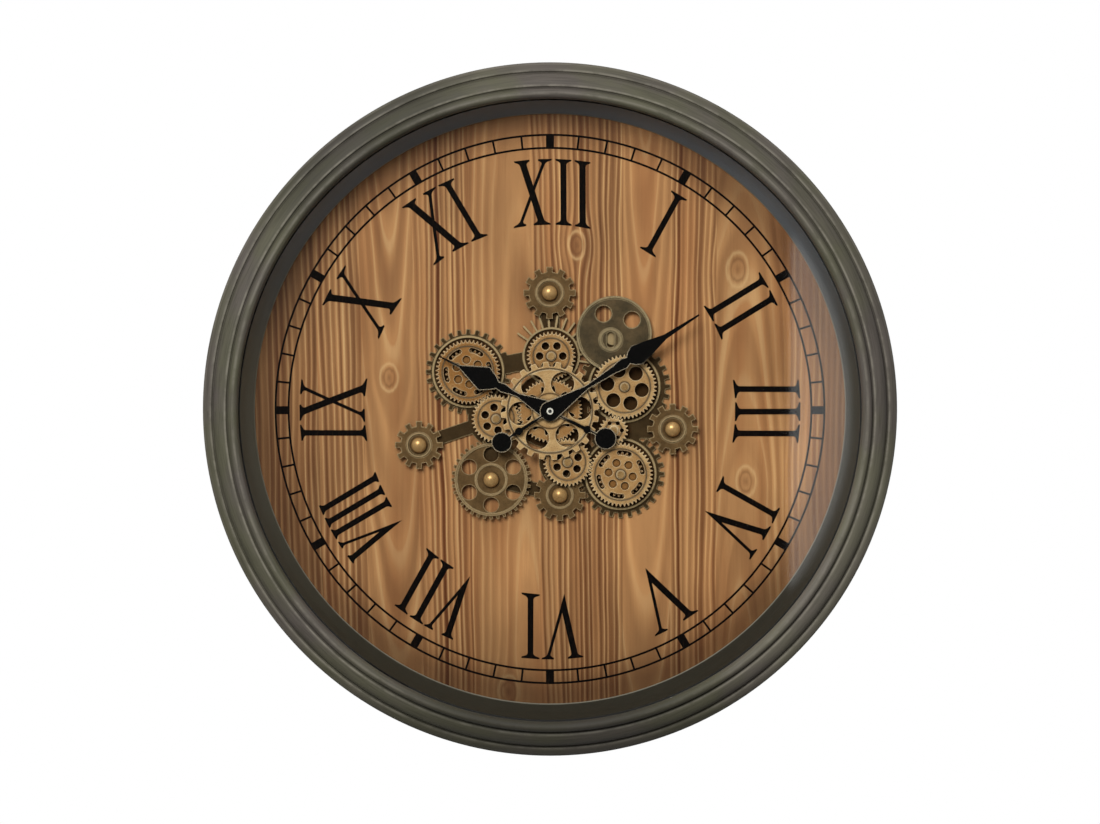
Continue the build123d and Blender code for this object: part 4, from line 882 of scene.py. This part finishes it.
def panHeads(name, places, seat, node):
    s = screwShape
    rho = np.concatenate((np.linspace(0, 1, 22), [1.0]))[:, None] * s["radius"]
    t = around(72)[None, :]
    x, y = rho * np.cos(t), rho * np.sin(t)

    def fade(v, edge):
        return np.clip((edge + s["soft"] - np.abs(v)) / (2 * s["soft"]), 0, 1)

    cross = np.maximum(fade(x, s["bar"]) * fade(y, s["reach"]), fade(y, s["bar"]) * fade(x, s["reach"]))
    rise = s["height"] * (1 - s["fall"] * (rho / s["radius"]) ** 4) - s["deep"] * cross
    rise[-1] = 0.0
    x, y, rise = (np.concatenate((v, np.zeros((1, v.shape[1])))) for v in (x, y, rise))
    faces = gridFaces(*rise.shape)
    patches = [(np.stack((px + x, py + y, seat - rise), axis=-1).reshape(-1, 3), faces) for px, py in places]
    solid(name, patches, looks["zinc_steel"], [node])


def screwHeads():
    turn = np.radians(clipScrews["first"] + clipScrews["apart"] * np.arange(clipScrews["count"]))
    ring = clipScrews["radius"] * np.stack((np.cos(turn), np.sin(turn)), axis=1)
    panHeads("clipScrewHeads", ring, clipScrews["seat"], "clip_screws")
    corners = [(a * hangerScrews["side"], keyholeUp + b * hangerScrews["up"]) for a in (-1, 1) for b in (-1, 1)]
    panHeads("hangerScrewHeads", corners, hangerScrews["seat"], "hanger_screws")


# Print on the dial: chapter ring and Roman numerals, raised as thin ink
printShape = {
    "dial": 35.0,
    "sink": 0.1,
    "thick": (0.1, 0.14, 0.18),
    "foot": 161.0,
    "head": 217.8,
    "rings": (227.2, 238.5),
    "line": 1.75,
    "block": 7.0,
    "bracket": 5.5,
    "serif": 1.3,
    "thin": 0.5,
    "point": 0.05,
}
# numeral strokes from XII on: I (head, foot, stem, serif), V (point, left head, right head, stem, serif), X (left
# head, right head, left foot, right foot, stem, serif), all across the hour's own radius
numerals = (
    (("X", -24.6, -4.2, -26.2, -6.6, 5.8, 13.4), ("I", 11.6, 11.8, 5.2, 13.9), ("I", 28.1, 28.3, 5.4, 13.6)),
    (("I", 3.7, 4.9, 4.9, 15.8),),
    (("I", -5.2, -3.7, 5.1, 15.6), ("I", 12.4, 14.0, 5.1, 15.0)),
    (("I", -18.2, -18.4, 5.0, 16.0), ("I", 1.2, 1.3, 5.0, 16.4), ("I", 20.4, 20.2, 5.0, 16.0)),
    (("I", -18.8, -18.2, 4.8, 14.6), ("V", 8.6, -1.7, 20.5, 5.4, 13.6)),
    (("V", -3.1, -16.8, 13.2, 5.6, 15.4),),
    (("V", -12.4, -22.4, 2.1, 5.4, 13.4), ("I", 17.1, 16.9, 5.0, 15.8)),
    (("V", -12.2, -21.4, -2.8, 5.2, 10.8), ("I", 9.4, 10.6, 5.2, 13.4), ("I", 25.4, 26.2, 5.2, 13.6)),
    (("V", -18.6, -26.0, -10.5, 4.8, 8.4), ("I", 0.3, 0.9, 4.9, 9.8), ("I", 11.8, 12.8, 4.9, 9.4),
     ("I", 24.0, 25.0, 4.9, 9.0)),
    (("I", -19.7, -19.9, 4.8, 13.9), ("X", -2.4, 20.6, -4.8, 20.1, 6.0, 14.0)),
    (("X", -12.2, 13.5, -14.7, 11.4, 6.3, 15.4),),
    (("X", -16.2, 5.0, -19.0, 3.8, 6.0, 14.2), ("I", 20.9, 21.7, 5.0, 15.0)),
)


def inkStroke(foot, head, fromR, toR, width, serifs, turn, level, point=0.0):
    # a ribbon from foot to head whose half width flares as (1 - distance from the end / bracket)^3; a point (u, v)
    # lands at y = sqrt(v^2 - u^2), so both ends follow the dial's circles; then it is turned to its hour. With a
    # point the foot narrows to nothing, at abs(point) of width for each mm of height, against the edge of its sign
    s = printShape
    low, high = fromR + s["bracket"], toR - s["bracket"]
    v = np.concatenate((np.linspace(fromR, low, 9), np.linspace(low, high, 11)[1:-1], np.linspace(high, toR, 9)))
    t = (v - fromR) / (toR - fromR)
    middle = foot + (head - foot) * t
    half = np.full(len(v), width / 2.0)
    for gap, serif in ((v - fromR, serifs[0]), (toR - v, serifs[1])):
        flare = np.clip(1 - np.maximum(gap - s["serif"], 0) / (s["bracket"] - s["serif"]), 0, 1) ** 3
        half = np.maximum(half, width / 2.0 + (serif - width) / 2.0 * flare)
    if point:
        narrow = np.minimum(half, s["point"] + (v - fromR) * abs(point) / 2.0)
        middle, half = middle + np.sign(point) * (half - narrow), narrow
    u = np.stack((middle - half, middle + half, middle + half, middle - half), axis=1)
    z = np.array((s["dial"] - s["sink"],) * 2 + (s["dial"] + level,) * 2) + 0 * u
    y = np.sqrt(v[:, None] ** 2 - u**2)
    c, k = np.cos(turn), np.sin(turn)
    points = np.stack((u * c + y * k, y * c - u * k, z), axis=-1).reshape(-1, 3)
    last = len(v) * 4
    caps = np.array(((0, 1, 2, 3), (last - 1, last - 2, last - 3, last - 4)))
    tube = gridFaces(len(v), 4, closed=False)[:, ::-1]
    return points, np.concatenate((tube, caps))


def dialPrint():
    s = printShape
    low, mid, high = s["thick"]
    patches = []
    for r in s["rings"]:
        edge = s["line"] / 2.0
        top, base = s["dial"] + low, s["dial"] - s["sink"]
        section = [(r - edge, base), (r + edge, base), (r + edge, top), (r - edge, top)]
        patches.append(turned(section, around(360)))
    inner, outer = s["rings"]
    for minute in range(60):
        turn = minute * np.pi / 30
        wide, level = (s["block"], high) if minute % 5 == 0 else (s["line"], mid)
        patches.append(inkStroke(0, 0, inner, outer, wide, (wide, wide), turn, level))
    for hour, letters in enumerate(numerals):
        turn = hour * np.pi / 6
        for letter, *across, stem, serif in letters:
            thin = stem * s["thin"]
            if letter == "I":
                head, foot = across
                strokes = ((foot, head, stem, (serif, serif), mid, 0.0),)
            elif letter == "V":
                apex, left, right = across
                opening = (right - left + (stem + thin) / 2.0) / (s["head"] - s["foot"])
                strokes = (
                    (apex + stem / 2.0, left, stem, (0.0, serif), high, -opening),
                    (apex - thin / 2.0, right, thin, (0.0, serif * 0.8), mid, opening),
                )
            else:
                left, right, leftFoot, rightFoot = across
                strokes = (
                    (rightFoot, left, stem, (serif * 1.1, serif), high, 0.0),
                    (leftFoot, right, thin, (serif * 0.8, serif * 0.9), mid, 0.0),
                )
            for foot, head, wide, serifs, level, point in strokes:
                patches.append(inkStroke(foot, head, s["foot"], s["head"], wide, serifs, turn, level, point))
    solid("dialPrint", patches, inkLook(), sharp=20.0)


frameMoulding()
rearBand()
spacerWall()
domeNuts()
screwHeads()
dialPrint()

# Stage: a pale floor well below the clock
stageShape = {"down": -2.2, "half": 0.9, "look": {"Base Color": (0.8, 0.8, 0.79, 1.0), "Roughness": 0.8}}
corners = [(a * stageShape["half"], b * stageShape["half"], stageShape["down"])
           for a, b in ((-1, -1), (1, -1), (1, 1), (-1, 1))]
mesh = bpy.data.meshes.new("floor")
mesh.from_pydata(corners, [], [(0, 1, 2, 3)])
floor = bpy.data.objects.new("floor", mesh)
scene.collection.objects.link(floor)
mesh.materials.append(dress(*newLook("pale floor"), stageShape["look"]))

# Light: a key lamp above, left and in front, and a soft room; glossy rays see a dark patch about the mirrored line
# of sight and a pale window to its right, which is the reflection in the glass. The edges of both are slopes off
# that line, which itself falls by the slope drop
lightShape = {
    "key": 385.0,
    "keyFrom": (-1.6, -5.4, 2.6),
    "keyAim": (0.0, 0.0, -0.215),
    "keySize": 2.4,
    "high": 0.74,
    "low": 0.05,
    "drop": 0.047,
    "patch": (0.13, 0.34),
    "window": 0.95,
    "windowLeft": (0.0825, 0.0838),
    "windowRight": (0.135, 0.12),
    "windowMiddle": 0.002,
    "windowHigh": (0.07, 0.055),
    "windowRound": (0.1055, 0.1025),
}


def lamp(name, power, size, start, aim):
    data = bpy.data.lights.new(name, "AREA")
    data.energy, data.size = power, size
    obj = bpy.data.objects.new(name, data)
    scene.collection.objects.link(obj)
    obj.location = start
    away = np.array(start) - np.array(aim)
    flatWay = math.hypot(away[0], away[1])
    obj.rotation_euler = (math.atan2(flatWay, away[2]), 0.0, math.atan2(away[0], -away[1]))


def roomLight():
    s = lightShape
    room = bpy.data.worlds.new("room")
    scene.world = room
    room.use_nodes = True
    room.node_tree.nodes.clear()
    air = Shade(room.node_tree)
    dx, dy, dz = air.node("TexCoord", {}, {}, "Generated").split()
    soft = dz.step(-0.9, 0.9) * (s["high"] - s["low"]) + s["low"]
    ahead = air.math("MAXIMUM", dy * -1.0, 0.02)
    sideways, upward = dx / ahead, dz / ahead + s["drop"]
    away = sideways.reach(upward)
    window = sideways.step(*s["windowLeft"]) * sideways.step(*s["windowRight"])
    window = window * abs(upward + s["windowMiddle"]).step(*s["windowHigh"]) * away.step(*s["windowRound"])
    glossy = soft * away.step(*s["patch"]) + window * s["window"]
    seen, through, mirrored = (
        air.node("LightPath", {}, {}, f"Is {ray} Ray") for ray in ("Camera", "Transmission", "Glossy")
    )
    # what the camera sees directly or through the glass is white
    seen = air.math("MAXIMUM", seen, through)
    strength = glossy * mirrored + soft * (1.0 - mirrored)
    strength = strength * (1.0 - seen) + seen
    background = air.node("Background", {}, {"Color": (1.0, 1.0, 1.0, 1.0), "Strength": strength})
    air.node("OutputWorld", {}, {"Surface": background})


lamp("key", lightShape["key"], lightShape["keySize"], lightShape["keyFrom"], lightShape["keyAim"])
roomLight()

# Camera: in front and a little above, 2.5 m off
cameraShape = {"away": 2.5, "up": math.radians(2.7), "lens": 94.6, "sensor": 36.0, "aim": (0.0, -0.0475, -0.216)}
cameraData = bpy.data.cameras.new("camera")
cameraData.lens, cameraData.sensor_width = cameraShape["lens"], cameraShape["sensor"]
camera = bpy.data.objects.new("camera", cameraData)
scene.collection.objects.link(camera)
up, (aimX, aimY, aimZ) = cameraShape["up"], cameraShape["aim"]
camera.location = (aimX, aimY - cameraShape["away"] * math.cos(up), aimZ + cameraShape["away"] * math.sin(up))
camera.rotation_euler = (math.pi / 2 - up, 0.0, 0.0)
scene.camera = camera
scene.view_settings.view_transform = "Standard"
print("stage, light and camera set")
